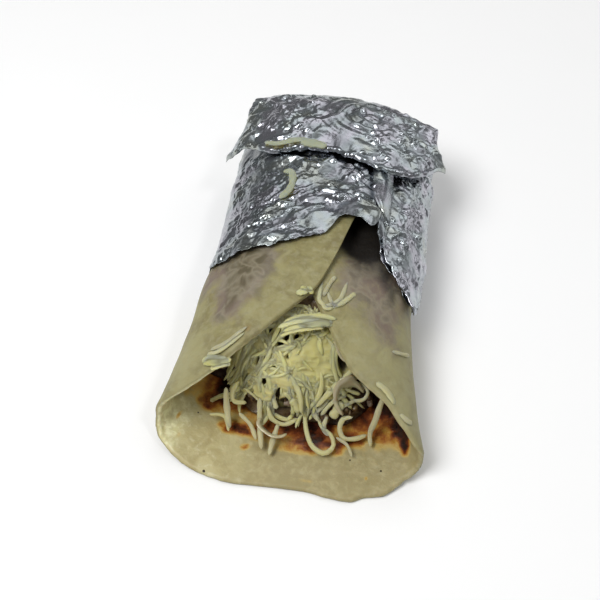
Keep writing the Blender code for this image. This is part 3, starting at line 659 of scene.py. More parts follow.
# Where the filling shows through the outer face
STAINED = in_units((1, MM, 1, MM, 1), (
    (-2.42, 60, 0.18, 6, 0.95), (-2.68, 58, 0.17, 6.4, 0.95), (-2.6, 49, 0.17, 8, 0.95),
    (-2.55, 42, 0.12, 5, 0.55), (-2.56, 54.5, 0.19, 8.5, 0.95), (-2.66, 60, 0.16, 5, 0.9),
    (2.62, 64, 0.22, 9, 0.95), (2.25, 62, 0.24, 9, 0.85), (2.45, 52, 0.26, 9, 0.8), (2.35, 43, 0.18, 7, 0.6),
    (2.8, 56, 0.18, 9, 0.55), (1.9, 56, 0.3, 8, 0.35), (-2.05, 56, 0.2, 6, 0.55),
))
# Painted shadow on the right flap beside the foil, under its hanging corner, near black in its middle
PAINTED_FOIL_SHADOW = in_units((1, MM, 1, MM, 1), (
    (2.86, 76, 0.2, 8.5, 1), (2.62, 70, 0.18, 6, 0.85), (2.42, 62, 0.12, 5, 0.6), (2.3, 56, 0.1, 5, 0.45),
    (2.7, 61, 0.22, 6, 0.3), (2.76, 85, 0.34, 10, 1), (2.6, 79, 0.18, 8, 1),
))
# Small burnt spots on the outer face
SPOTS = in_units((1, MM, 1, MM, 1), ((-2.8, 34.3, 0.03, 1.2, 0.35), (-1.9, 30, 0.03, 1, 0.2)))


def make_bread(finish):
    """The flatbread as one closed sheet.

    Across its thickness it is a long loop: back to front along the outer face, half round the rim, and
    front to back along the inner face. Each loop is carried round the roll by the wrap angle.
    """
    angle = np.linspace(RIM[0][0], RIM[-1][0], BREAD_AROUND)[:, None]
    share = np.linspace(0.0, 1.0, BREAD_ALONG)[None, :] ** 1.5
    rim = through(angle, RIM) + 0.00022 * cloud(flat(angle), 0.1, 3, 2)
    rim = rim + RIM_BULGE * bell((angle - 2.28) / 0.26)
    half = 0.5 * BREAD_THICKNESS
    round_rim = np.linspace(0.5 * PI, -0.5 * PI, 9)[None, 1:-1]
    y_face = rim + half + (BREAD_END_Y - rim - half) * share
    y = np.concatenate([y_face[:, ::-1], rim + half * (1.0 - np.cos(round_rim)), y_face], axis=1)
    rounding = half * (np.sin(round_rim) - 1.0)
    depth = np.concatenate([0.0 * share, rounding, 0.0 * share - BREAD_THICKNESS], axis=1)
    angle, depth = angle + 0.0 * y, depth + 0.0 * y
    lift = bread_lift(angle)
    middle = section(angle, y, lift - half)
    outside = 1.0 + depth / BREAD_THICKNESS
    side = smooth((np.abs(angle) - 0.95) / 0.4)
    bumps = 0.0003 * cloud(middle, 0.011, 11, 2) * (side + 0.5 * (1.0 - side) * (outside < 0.4))
    dents = 0.00022 * cloud(middle, 0.0045, 21, 2) * (outside < 0.5)
    points = section(angle, y, lift + depth + bumps + dents - flap_dent(angle, y))

    inside = smooth((0.75 - outside) / 0.5)
    outer = 1.0 - inside
    stretch = cloud(middle, 0.006, 31, 2)
    toast = painted(angle + 0.05 * stretch, y + 0.0011 * cloud(middle, 0.004, 41, 2), TOASTED)
    # painted light on the left inner wall
    lit_left_wall = smooth((-0.72 - angle) / 0.4) * smooth((0.03 - y) / 0.01) * inside
    pale_edge = 0.6 * spot(angle, y, -2.1, 0.027, 0.32, 0.009)
    right_side = 0.4 * smooth((points[..., 0] - 0.01) / 0.014)
    marks = {
        "toast": toast * inside + painted(angle, y, SPOTS) * outer,
        "stain": painted(angle + 0.04 * stretch, y, STAINED) * outer * np.where(angle < 0.0, 1.5, 1.0),
        "inside": inside,
        # painted shadow under the foil's hanging corner
        "dark": painted(angle, y, PAINTED_FOIL_SHADOW) * outer,
        # painted shade: the inner face duskier from the far left towards the right
        "dimmed": 0.9 * smooth((points[..., 0] + 0.026) / 0.024),
        # painted light on the browned left inner wall
        "painted_glow": smooth((-0.68 - angle) / 0.3) * inside,
        "light": lit_left_wall + (pale_edge + right_side) * outer,
    }

    rows, columns = points.shape[:2]
    turn_at, last_loop = columns // 2, (rows - 1) * columns
    step = np.arange(turn_at - 1)
    rungs = np.stack([step, step + 1, columns - 2 - step, columns - 1 - step], axis=-1)
    tip = np.array([[turn_at - 1, turn_at, turn_at + 1]])
    ends = [rungs, tip, rungs[:, ::-1] + last_loop, tip[:, ::-1] + last_loop]
    faces = [grid_faces(rows, columns, round_columns=True), *ends]
    return put_mesh("bread", points, faces, finish, ["flatbread"], marks)


# Cheese


def slope_back(x):
    """How far the filling's slope stands back at the roll's two sides, where the bread's wall shows."""
    return SLOPE_BACK * smooth((np.abs(x - 0.001) - 0.0135) / 0.013)


def slope_y(x, z):
    """Where the filling's front slope is at a height."""
    return SLOPE_FOOT_Y + slope_back(x) + SLOPE_RUN * (z - LAYER)


def slope_height(x, y):
    """The height of the bread's floor and of the filling's slope, with the corner between them rounded."""
    beyond = y - SLOPE_FOOT_Y - slope_back(x) + 0.001
    return LAYER + 0.5 * (beyond + np.sqrt(beyond**2 + 0.005**2)) / SLOPE_RUN


def mound_outline(turn):
    """How far out the mound's uneven outline is, in its half sizes."""
    return 1.0 + 0.07 * np.sin(3.0 * turn + 1.0) + 0.06 * np.sin(5.0 * turn)


def mound_dome(x, y):
    """The height of the mound over the slope, nothing outside its outline."""
    across = (x - MOUND_CENTRE[0]) / MOUND_HALF_SIZE[0]
    along = (y - MOUND_CENTRE[1]) / MOUND_HALF_SIZE[1]
    radius = np.hypot(across, along) / mound_outline(np.arctan2(along, across))
    lump = spot(x, y, *LUMP_CENTRE, 0.009, 0.006)
    return MOUND_HEIGHT * np.sqrt(np.maximum(0.0, 1.0 - radius**2)) * (1.0 + 0.35 * lump)


def heap_height(x, y):
    """The height of what the shreds lie on."""
    return slope_height(x, y) + mound_dome(x, y)


def lay(x, y, above=0.0):
    """Points that far above what the shreds lie on, and the way up there."""
    step, steepest = 0.0004, 1.6
    height = heap_height(x, y)
    rises = np.stack([heap_height(x + step, y), heap_height(x, y + step)], axis=-1) - height[..., None]
    tilt = np.clip(-rises / step, -steepest, steepest)
    up = np.concatenate([tilt, np.ones_like(tilt[..., :1])], axis=-1)
    up /= np.linalg.norm(up, axis=-1)[..., None]
    return np.stack([x, y, height], axis=-1) + up * np.asarray(above)[..., None], up


def room_in_bread(points, reach):
    """Whether each point has room round it: inside the roll's section, or in front of the rim."""
    x, y, z = np.moveaxis(points, -1, 0)
    inset = LAYER + reach
    half = np.where(x < 0.0, through(y, LEFT_HALF), through(y, RIGHT_HALF)) - inset
    side = through(y, SIDE_HEIGHT) + base_height(y)
    crown = through(y, CROWN_HEIGHT) - inset
    low = through(y, SIDE_HEIGHT) - LAYER - 0.4 * reach
    upper = z > side
    power = np.where(upper, CROWN_POWER, UNDER_POWER)
    within = np.abs(x / half) ** power + np.abs((z - side) / np.where(upper, crown, low)) ** power < 1.0
    angle = np.where(x < 0.0, -1.0, 1.0) * (PI - np.arctan2(np.abs(x), z - side))
    return within | ((y < through(angle, RIM) - reach) & upper)


def ribbons(paths, ups, width, depth, tint):
    """Solid shreds along paths: a flattened round section, carried along and closed at rounded ends.

    paths and ups are (shreds, points, 3); width, depth and tint have a number for each shred.
    The section is width * cos and depth * sin of a turn, squared off a little, and narrower at the ends.
    """
    shreds, count = paths.shape[:2]
    ahead = np.gradient(paths, axis=1)
    ahead /= np.linalg.norm(ahead, axis=-1)[..., None] + 1e-12
    side = np.cross(ahead, ups)
    side /= np.linalg.norm(side, axis=-1)[..., None] + 1e-12
    up = np.cross(side, ahead)
    turn = np.linspace(0.0, 2.0 * PI, SHRED_SIDES, endpoint=False)
    blunt = 0.78
    across, rise = (0.5 * np.sign(wave) * np.abs(wave) ** blunt for wave in (np.cos(turn), np.sin(turn)))
    place = np.linspace(0.0, 1.0, count)
    taper = 0.86 * np.sqrt(1.0 - (2.0 * np.abs(place - 0.5)) ** 5.0) + 0.14
    seed = np.arange(shreds)[:, None]
    uneven = 1.0 + 0.1 * np.sin(9.0 * place + 2.1 * seed) + 0.05 * np.sin(23.0 * place + 1.3 * seed)
    wide = (width[:, None] * taper * uneven)[..., None, None]
    deep = (depth[:, None] * taper)[..., None, None]
    wide_way, deep_way = side[:, :, None] * wide, up[:, :, None] * deep
    rings = paths[:, :, None] + wide_way * across[:, None] + deep_way * rise[:, None]
    points = np.concatenate([rings.reshape(shreds, -1, 3), paths[:, :1], paths[:, -1:]], axis=1)
    each = points.shape[1]
    return points.reshape(-1, 3), copies(hose_faces(count, SHRED_SIDES), shreds, each), np.repeat(tint, each)


def smooth_path(stops, count):
    """Evenly placed points on a smooth curve through a list of places."""
    stops = np.array(stops, float)
    run = np.concatenate([[0.0], np.cumsum(np.linalg.norm(np.diff(stops, axis=0), axis=1))])
    along = np.linspace(0.0, run[-1], count)
    return np.stack([through(along, list(zip(run, column))) for column in stops.T], axis=-1)


# Shreds that hang out of the mouth or show singly: width, then (x, y, z) places, in mm
HANGING = (
    (2, (1.8, 27.5, 10.5), (3.1, 23.7, 6.9), (4.4, 19.2, 4.3), (7.3, 14.5, 3.3), (10.9, 13.1, 3.2),
     (13.3, 15.9, 3.4), (12.2, 19.1, 4.2), (9.1, 20.7, 5.4), (7.3, 22.7, 7)),
    (2.1, (18.2, 24.4, 8), (15.3, 24.2, 6.5), (14.5, 21.8, 4.5), (16.1, 19.2, 3.6), (19.6, 19.4, 3.6),
     (23.2, 21.1, 4)),
    (1.5, (15.5, 31.8, 11.5), (16.6, 34, 12.5), (19.8, 34, 12.5), (21.9, 32.1, 11.5), (21, 30.3, 10),
     (17.8, 29.5, 9.8), (15.6, 31, 10.4)),
    (2.4, (27.7, 29.2, 19), (26.3, 26.7, 14), (25.2, 23.5, 9), (24.1, 21, 5), (24.8, 17.4, 3.2)),
    (2.1, (2.7, 32.9, 18.6), (7.3, 34, 18.2), (10.5, 33, 16.2), (11.4, 30.6, 13.6), (9.3, 27, 10.6),
     (6.5, 24.2, 7.6)),
    (2, (17.6, 35.2, 19), (13.9, 33.2, 16.9), (11.5, 29.9, 13.8), (9.5, 27.7, 11)),
    (2.6, (-22, 25.5, 14), (-21.3, 21.8, 8), (-19.7, 17, 4)),
    (2, (-18.4, 28.2, 14.4), (-20.1, 25.7, 11.8), (-19.5, 23.9, 9.4), (-15.5, 24.3, 8.5)),
    (2.3, (-11.4, 25.5, 10.6), (-10.7, 20.5, 6.2), (-8.7, 11.7, 3.2)),
    (2.2, (-4.7, 19.7, 5.9), (-5.6, 14.5, 3.9), (-6, 10.1, 3)),
    (1.9, (-8.7, 23.4, 9.4), (-6.6, 20.8, 6.4), (-2.9, 20.1, 5.4), (0.9, 21.9, 6.4)),
    (1.8, (-17.4, 21.2, 6.9), (-13.4, 18.7, 5), (-10.8, 14.5, 3.6)),
    (1.6, (-26.8, 20.1, 5.6), (-22.1, 20.4, 5.2), (-19.8, 15.9, 4)),
    (2.2, (-8, 27.6, 12.6), (-7, 25.5, 10.4), (-5.7, 23.5, 8.5)),
    (3.4, (-1.5, 25.7, 11.6), (0.4, 24.9, 9.9), (1.2, 23.5, 8)),
    (2, (10.1, 23.8, 7.4), (9.7, 20.4, 4.9), (11.4, 19, 4)),
    (1.4, (13.8, 18.7, 4.2), (17.5, 16.9, 3.4), (19.4, 13.5, 2.9)),
    (2.1, (6.8, 28.2, 10), (5.8, 24.9, 7.7), (7.6, 22.6, 6)),
    (2.6, (17.3, 35.2, 20), (14.2, 31.7, 18.4), (10.3, 28.2, 14.9), (6.5, 25, 10.3)),
    (1.8, (15.5, 29.4, 12.2), (12.9, 28, 12.2), (10.7, 26.2, 10.7), (8.2, 24, 7.3)),
    (4.2, (11.6, 24, 6.6), (13, 25.9, 8.8), (14.2, 27.8, 10.8)),
    (1.8, (18.2, 29.2, 9.8), (15.6, 27.6, 9.8), (13, 26, 8.8)),
    (1.6, (19.6, 31.6, 10.4), (17, 31, 12.2), (14.6, 30.6, 14.6)),
    (2, (-28, 26.2, 3.4), (-26, 28, 3.2), (-23.5, 29.6, 3.2)),
)

# Shreds that fell on the bread's outer face: width in mm, tint, then (wrap angle, y in mm) places
STRAYS = (
    (2.6, 1.7, (3.28, 36.2), (3.18, 38.4), (3.09, 39.7), (2.93, 40.2)),
    (2.2, 1.3, (3.25, 38), (3.16, 40.2), (3.05, 41.3), (2.9, 41.4)),
    (1.6, 0.2, (3.2, 39.2), (3.1, 40.4), (3, 39.7)),
    (2.4, 1.4, (3.24, 35.2), (3.14, 37.3), (3.04, 38.7), (2.93, 39.2)),
    (1.5, 0, (3.26, 33.4), (3.18, 35.2), (3.09, 36.8), (3, 37.8)),
    (4.6, 1.2, (3.16, 37.6), (3.05, 39.2), (2.94, 39.9)),
    (3, 1.5, (-2.42, 25.3), (-2.56, 24.9), (-2.69, 23.4), (-2.74, 22)),
    (2.2, -0.6, (-2.47, 26.8), (-2.63, 27.1), (-2.71, 29.5), (-2.79, 32.5)),
    (2.8, 1.5, (-2.57, 21.6), (-2.65, 22), (-2.73, 22.6)),
    (3, 1.2, (-2.55, 23.6), (-2.66, 23.3), (-2.74, 23.8)),
    (5, 1, (-2.46, 24.8), (-2.6, 23.8), (-2.71, 23.1)),
    (2, -1.2, (-2.5, 28), (-2.66, 29.2), (-2.8, 34.5)),
    (1.6, -1.2, (2.3, 37), (2.14, 38.1), (1.94, 40.4)),
    (3.2, -0.7, (2.5, 25), (2.38, 23.2), (2.28, 20.6)),
    (2.4, -0.9, (2.22, 18.2), (2.12, 17.2), (2.02, 17.6)),
    (1.8, -1.4, (2.95, 55.8), (3, 52), (3.03, 48.3)),
    (2.1, -0.6, (3.05, 53.1), (3.06, 49.5), (3.02, 45.2), (2.94, 44.9)),
    (1.6, -1, (3, 50), (2.97, 47.4), (2.93, 45.8), (2.9, 46.8)),
    (1.8, -0.9, (2.84, 54.6), (2.87, 50.1), (2.94, 46.4), (3.02, 44.8)),
    (2.2, -0.6, (2.75, 51.6), (2.86, 47.5), (2.95, 45)),
    (3, 1.4, (-3.09, 46.6), (-3.14, 47.7), (-3.165, 49.2)),
    (2, 0.8, (-3.11, 49), (-3.15, 47.8), (-3.18, 47.4)),
)

# Dark gaps that go down into the heap: (x, y, half length, half breadth, direction in radians)
PITS = in_units((MM, MM, MM, MM, 1), (
    (-6.5, 36.4, 1.3, 0.6, 0.3), (-4.3, 37.8, 1.1, 0.5, -0.4), (-1.7, 37.7, 1, 0.5, 1.1),
    (3.9, 41.1, 1.2, 0.5, 0.2), (-10.3, 29, 1.3, 0.6, -0.6), (-17.1, 27.8, 0.9, 0.8, 0.9),
    (-12.3, 24.8, 1.4, 0.6, -0.4), (-9.5, 39.5, 1.4, 0.6, 0.7), (-13, 33.5, 0.9, 0.4, 1.2),
    (7.3, 26, 0.7, 1.2, 0.3), (-7.5, 31.5, 0.8, 0.4, 0.3), (-14.5, 26.8, 1.2, 0.5, 0.6),
    (-6, 26, 1.5, 0.8, 0.9), (-2.5, 25.4, 1.2, 0.7, -0.5), (12.5, 27.5, 0.7, 0.6, 0.4),
    (-3.5, 33.8, 0.5, 0.3, 0.2), (13.2, 35.4, 2.6, 1.4, -1.1), (-7.4, 38.6, 1, 0.4, 0.5),
    (-10.8, 33.6, 1, 0.4, 0.1), (-15.6, 30.8, 0.8, 0.6, 1), (-3.4, 24.7, 2.6, 1, 0),
    (-15.2, 25.2, 1.9, 1.3, 0.1), (8.8, 26.2, 0.9, 1.3, 0.3),
))


def pit_depth(x, y):
    """1 at the middle of each gap, nothing away from them."""
    depth = 0.0
    bent = 0.0005 * cloud(flat(x, y), 0.0013, 77)
    for at_x, at_y, length, breadth, direction in PITS:
        along, aside = turned_axes(x - at_x, y - at_y, direction)
        away = np.hypot((along + bent) / length, (aside + bent) / (1.25 * breadth))
        depth = np.maximum(depth, bell(away**1.5))
    return depth


def make_mound(finish):
    """The heap's melted core: loops from the middle of the dome out to its edge and in again at the back."""
    turn = np.linspace(0.0, 2.0 * PI, CORE_AROUND, endpoint=False)[None, :]
    radius = np.append(np.linspace(0.02, 0.98, CORE_FRONT), np.linspace(0.95, 0.05, CORE_BACK))[:, None]
    front = (np.arange(len(radius)) < CORE_FRONT)[:, None] * 1.0
    reach = radius * mound_outline(turn)
    x = MOUND_CENTRE[0] + MOUND_HALF_SIZE[0] * reach * np.cos(turn)
    squeeze = np.where(np.sin(turn) < 0.0, CORE_SQUEEZE, 1.0)
    y = MOUND_CENTRE[1] + MOUND_HALF_SIZE[1] * reach * np.sin(turn) * squeeze
    place, up = lay(x, y)
    place[..., 2] -= (1.0 - front) * mound_dome(x, y)
    pit = pit_depth(x, y) * front
    strands = 1.0 - 2.0 * np.abs(cloud(place * np.array([1.0, 0.45, 1.0]), 0.0017, 75))
    strands += 0.7 * (1.0 - 2.0 * np.abs(cloud(place * np.array([0.4, 1.2, 1.0]), 0.0015, 79)))
    lumps = (0.0008 * cloud(place, 0.0042, 71, 2) + 0.00026 * strands) * front - DEEPEST_GAP * pit
    points = hose_points(place + up * (lumps + CORE_LIFT)[..., None])
    near_lump = bell(np.hypot(points[:, 0] - LUMP_CENTRE[0], points[:, 1] - LUMP_CENTRE[1]) / 0.009)
    # painted light on the core's left and back
    left, back = smooth((0.001 - points[:, 0]) / 0.007), smooth((points[:, 1] - 0.036) / 0.004)
    marks = {
        "tint": near_lump * 1.1 - 0.3,
        # painted shade in the pits
        "gap": np.append(pit.ravel(), [0.0, 0.0]),
        # painted shade on the core between the shreds, less at the melted lump
        "deep": 1.0 - smooth(1.4 * near_lump),
        "painted_light": 0.7 * np.maximum(left, back),
    }
    return put_mesh("cheese_core", points, hose_faces(*x.shape), finish, ["cheese_shreds"], marks)


def make_shreds(finish):
    """The heap's shreds: random curls laid over the mound and listed ones that hang out of the mouth.

    A random shred starts at a place of a sunflower spiral, and its heading turns by a bend and a twist
    along it. It is left out over the melted lump and wherever it would cover one of the gaps, and it is
    cut short where it would run into the bread.
    """
    draw = np.random.default_rng(7)
    count = SHRED_TOTAL
    spread = np.sqrt((np.arange(count) + 0.5) / count)
    spiral = PI * (3.0 - math.sqrt(5.0)) * np.arange(count)
    x = SPREAD_CENTRE[0] + SPREAD_HALF_SIZE[0] * spread * np.cos(spiral) + draw.normal(0, 0.001, count)
    y = SPREAD_CENTRE[1] + SPREAD_HALF_SIZE[1] * spread * np.sin(spiral) + draw.normal(0, 0.0008, count)
    heading = draw.uniform(0.0, 2.0 * PI, count)
    length = draw.uniform(0.008, 0.02, count)
    bend = draw.choice((-1.0, 1.0), count) * draw.uniform(0.2, 3.2, count)
    combed = (x < -0.003) & (y > 0.029) & (draw.uniform(size=count) < 0.75)
    heading = np.where(combed, 0.8 + draw.normal(0.0, 0.45, count), heading)
    bend = np.where(combed, 0.45, 1.0) * bend
    twist = draw.normal(0.0, 1.4, count)
    rise = draw.uniform(0.0005, 0.0016, count)
    tilt = draw.normal(0.0, 0.0007, count)
    width = draw.uniform(0.0008, 0.0017, count)
    along = np.linspace(0.0, 1.0, SHRED_POINTS)[None, :]
    turned = heading[:, None] + bend[:, None] * along + twist[:, None] * along**2
    step = (length / (SHRED_POINTS - 1))[:, None]
    run_x = np.cumsum(step * np.cos(turned), axis=1)
    run_y = np.cumsum(step * np.sin(turned), axis=1) * SHRED_SQUASH
    path_x = x[:, None] + run_x - run_x.mean(axis=1)[:, None]
    path_y = y[:, None] + run_y - run_y.mean(axis=1)[:, None]
    wave = np.sin(PI * along * draw.uniform(0.7, 2.2, count)[:, None] + draw.uniform(0, PI, count)[:, None])
    above = 0.0005 + rise[:, None] * (0.55 + 0.45 * wave) + tilt[:, None] * (along - 0.5)
    paths, ups = lay(path_x, path_y, np.maximum(above, SHRED_LIFT))

    roomy = room_in_bread(paths, SHRED_ROOM)
    room = np.where(roomy.all(axis=1), SHRED_POINTS, np.argmin(roomy, axis=1))
    melted = spot(x, y, 0.005, 0.0335, 0.0105, 0.0085, 2.0)
    wanted = (draw.uniform(size=count) > 0.965 * melted) & (pit_depth(path_x, path_y).max(axis=1) < 0.55)
    wanted &= (path_x > LEFT_LIMIT).all(axis=1) | (y > 0.0365)
    keep = np.flatnonzero(wanted & (room >= 2 * SHRED_POINTS // 3))
    for k in keep[room[keep] < SHRED_POINTS]:
        paths[k] = smooth_path(paths[k][: room[k]], SHRED_POINTS)
    near_lump = bell(np.hypot(x - LUMP_CENTRE[0], y - LUMP_CENTRE[1]) / 0.008)
    tint = draw.uniform(-0.5, 0.5, count) + 0.9 * near_lump - 0.4 * (y < 0.027)

    hanging = np.array([smooth_path(np.array(places) * MM, SHRED_POINTS) for _, *places in HANGING])
    hanging += 0.001 * np.array([0.09, -0.61, 0.79])
    paths = np.concatenate([paths[keep], hanging])
    ups = np.concatenate([ups[keep], SLOPE_UP + 0.0 * hanging])
    width = np.concatenate([width[keep], 0.76 * MM * np.array([wide for wide, *_ in HANGING])])
    tint = np.concatenate([tint[keep], draw.uniform(-1.1, -0.2, len(HANGING))])
    points, faces, tints = ribbons(paths, ups, width, 0.0002 + 0.46 * width, tint)

    x, y, z = points.T
    # painted shade on the shreds that lie low on the heap
    past_front = smooth((y - 0.0235) / 0.004)
    deep = (1.0 - smooth((z - heap_height(x, y) - 0.0008) / 0.0016)) * past_front * (x > -0.002)
    # painted light on the shreds' left and back
    left, back = smooth((0.001 - x) / 0.007), smooth((y - 0.034) / 0.004)
    marks = {"tint": tints, "deep": deep, "painted_light": np.maximum(left, back) * smooth((y - 0.025) / 0.004)}
    return put_mesh("cheese_curls", points, faces, finish, ["cheese_shreds"], marks)


def make_strays(finish):
    """Shreds that lie on the bread's outer face, raised a little in the middle."""
    lines = np.array([smooth_path(np.array(places) * (1.0, MM), SHRED_POINTS) for _, _, *places in STRAYS])
    angle, y = np.moveaxis(lines, -1, 0)
    hump = bread_lift(angle) + 0.0001 + 0.0003 * np.sin(np.linspace(0.0, PI, SHRED_POINTS))
    paths = section(angle, y, hump)
    ups = section(angle, y, hump + 0.001) - paths
    width, tint = np.array([row[:2] for row in STRAYS]).T
    width = 0.8 * MM * width
    points, faces, tints = ribbons(paths, ups, width, 0.0005 + 0.1 * width, tint)
    return put_mesh("stray_cheese", points, faces, finish, ["flatbread"], {"tint": tints})


# Filling and onion


def make_filling(finish):
    """The filling: loops across its lumpy front slope, from the middle out, then back along the roll."""
    angle = np.linspace(0.0, 2.0 * PI, 200, endpoint=False)
    front = np.full(angle.shape, SLOPE_FOOT_Y)
    for _ in range(12):
        place = section(angle, front, -LAYER)
        front = slope_y(place[:, 0], place[:, 2])
    edge = section(angle, front, -LAYER)
    radius = np.linspace(0.02, 0.97, 60)[:, None]
    x, z = edge[:, 0] * radius, MIDDLE_HEIGHT + (edge[:, 2] - MIDDLE_HEIGHT) * radius
    slope = np.stack([x, slope_y(x, z), z], axis=-1)
    lumps = (0.0011 * cloud(slope, 0.0048, 51, 3) - 0.0002) * smooth((1.0 - radius) / 0.06)
    slope = slope + lumps[..., None] * np.array([0.0, -0.77, 0.63])
    share = np.linspace(0.0, 1.0, 24)[:, None]
    y = front + (FILLING_END_Y - front) * share
    dent = 1.1 * flap_dent((angle + PI) % (2.0 * PI) - PI, y)
    loops = np.concatenate([slope, section(angle + 0.0 * y, y, -LAYER - 0.0003 * (share > 0.02) - dent)])
    points = hose_points(loops)
    tint = 0.6 * cloud(points, 0.006, 61, 2) - 0.6 * smooth((np.abs(points[:, 0]) - 0.012) / 0.01)
    apex = bell((points[:, 2] - 0.0325) / 0.004) * bell(points[:, 0] / 0.008)
    marks = {"tint": tint * (1.0 - apex) + 0.2 * apex}
    faces = hose_faces(*loops.shape[:2])
    return put_mesh("filling_slope", points, faces, finish, ["filling"], marks)


def blobs(centres, sizes, turns, seed, rows=9, columns=14):
    """Rounded chunks: unit spheres in latitude and longitude, squared off, dented by noise and sized.

    Each is turned about x and then about z, by its two turns.
    """
    lat = np.linspace(-0.5 * PI, 0.5 * PI, rows + 2)[1:-1, None]
    lon = np.linspace(0.0, 2.0 * PI, columns, endpoint=False)[None, :]
    unit = np.stack([np.cos(lat) * np.cos(lon), np.cos(lat) * np.sin(lon), np.sin(lat) + 0.0 * lon], axis=-1)
    unit = np.sign(unit) * np.abs(unit) ** 0.75
    unit = np.concatenate([unit.reshape(-1, 3), [[0.0, 0.0, -1.0], [0.0, 0.0, 1.0]]])
    count = len(centres)
    apart = 3.0 * np.arange(count)[:, None, None]
    dented = unit * (1.0 + 0.22 * cloud(unit * 0.9 + apart, 1.0, seed))[..., None]
    x, y, z = np.moveaxis(dented * sizes[:, None], -1, 0)
    (cos_z, cos_x), (sin_z, sin_x) = np.cos(turns).T[..., None], np.sin(turns).T[..., None]
    y, z = cos_x * y - sin_x * z, sin_x * y + cos_x * z
    points = np.stack([cos_z * x - sin_z * y, sin_z * x + cos_z * y, z], axis=-1) + centres[:, None]
    return points.reshape(-1, 3), copies(hose_faces(rows, columns), count, len(unit)), len(unit)


def make_bits(finish):
    """Chunks of vegetable that stand out of the filling's slope round the cheese."""
    draw = np.random.default_rng(23)
    count = 110
    x = draw.uniform(-0.026, 0.026, count)
    y = draw.uniform(0.0235, 0.04, count) + slope_back(x)
    centres = np.stack([x, y, slope_height(x, y)], axis=-1)
    sizes = draw.uniform(0.0007, 0.0019, (count, 3)) * np.array([1.25, 1.0, 0.7])
    keep = room_in_bread(centres, 0.0022)
    centres, sizes = centres[keep], sizes[keep]
    turns = draw.uniform(0.0, 2.0 * PI, (len(centres), 2))
    sizes = sizes * np.where(centres[:, :1] > 0.01, 0.8, 1.0)
    points, faces, each = blobs(centres, sizes, turns, 81)
    tint = np.repeat(draw.uniform(-0.35, 0.75, len(centres)), each)
    return put_mesh("filling_bits", points, faces, finish, ["filling"], {"tint": tint})


def make_onion(number, place, finish):
    """A curved slice of onion: part of a flared ring that stands, a little tilted, on the slope."""
    x, y, radius, first, sweep = place
    turn = np.linspace(first, first + sweep, 70)[:, None]
    around = np.linspace(0.0, 2.0 * PI, 20, endpoint=False)[None, :]
    rise, thick = (0.5 * np.sign(wave) * np.abs(wave) ** 0.6 for wave in (np.sin(around), np.cos(around)))
    taper = np.sqrt(np.clip(1.0 - np.abs(2.0 * (turn - first) / sweep - 1.0) ** 8, 0.03, 1.0))
    rise = 0.5 + rise * taper
    reach = (radius + ONION_THICKNESS * (thick * taper - 0.5)) * (1.0 + 0.16 * rise)
    reach = reach * (1.0 + 0.05 * np.sin(4.0 * turn + number))
    foot, _ = lay(x + reach * np.cos(turn), y + reach * np.sin(turn) * 0.75)
    loops = foot + SLOPE_UP * (0.0012 + ONION_WIDTH * rise)[..., None]
    faces = hose_faces(*loops.shape[:2])
    tint = np.append(np.tile(0.5 + 0.5 * np.cos(around), (len(turn), 1)).ravel(), [0.5, 0.5])
    node = f"onion_slice_{number}"
    return put_mesh(f"onion_{number}", hose_points(loops), faces, finish, [node], {"tint": tint})


# Foil


def foil_rest(angle):
    """How far the sleeve is raised by the doubled flaps under it."""
    turn = (angle + PI) % (2.0 * PI) - PI
    flaps = smooth((-PI + 0.95 - turn) / 0.45) + smooth((turn - PI + 0.62) / 0.18)
    return LAYER * np.minimum(flaps, 1.0)


def wrap_angle(turn):
    """A turn goes from 0 under the middle up the left side, pi at the top, and down the right side."""
    return np.where(turn <= PI, -turn, 2.0 * PI - turn)


def girth(turn):
    """How far round the sleeve a turn is, in metres from the top: almost x near the top."""
    fine = np.linspace(0.0, 2.0 * PI, 2001)
    line = section(wrap_angle(fine), np.full(fine.shape, 0.09), 0.002)
    run = np.concatenate([[0.0], np.cumsum(np.linalg.norm(np.diff(line, axis=0), axis=1))])
    return np.interp(turn, fine, run) - run[len(run) // 2]


def fold_heights(u, v, folds):
    """The sum of straight folds on a surface that is u across and v along.

    A fold is a crest along a line. It falls straight to nothing at its own width to either side, and
    towards the line's two ends.
    """
    total = np.zeros(u.shape)
    for at_u, at_v, direction, reach, near, far, height in folds:
        bound = reach + max(near, far)
        close = (np.abs(u - at_u) < bound) & (np.abs(v - at_v) < bound)
        along, aside = turned_axes(u[close] - at_u, v[close] - at_v, direction)
        crest = np.maximum(0.0, 1.0 - np.abs(aside) / np.where(aside > 0.0, far, near))
        total[close] += height * crest * np.clip(1.6 * (1.0 - np.abs(along) / reach), 0.0, 1.0)
    return total


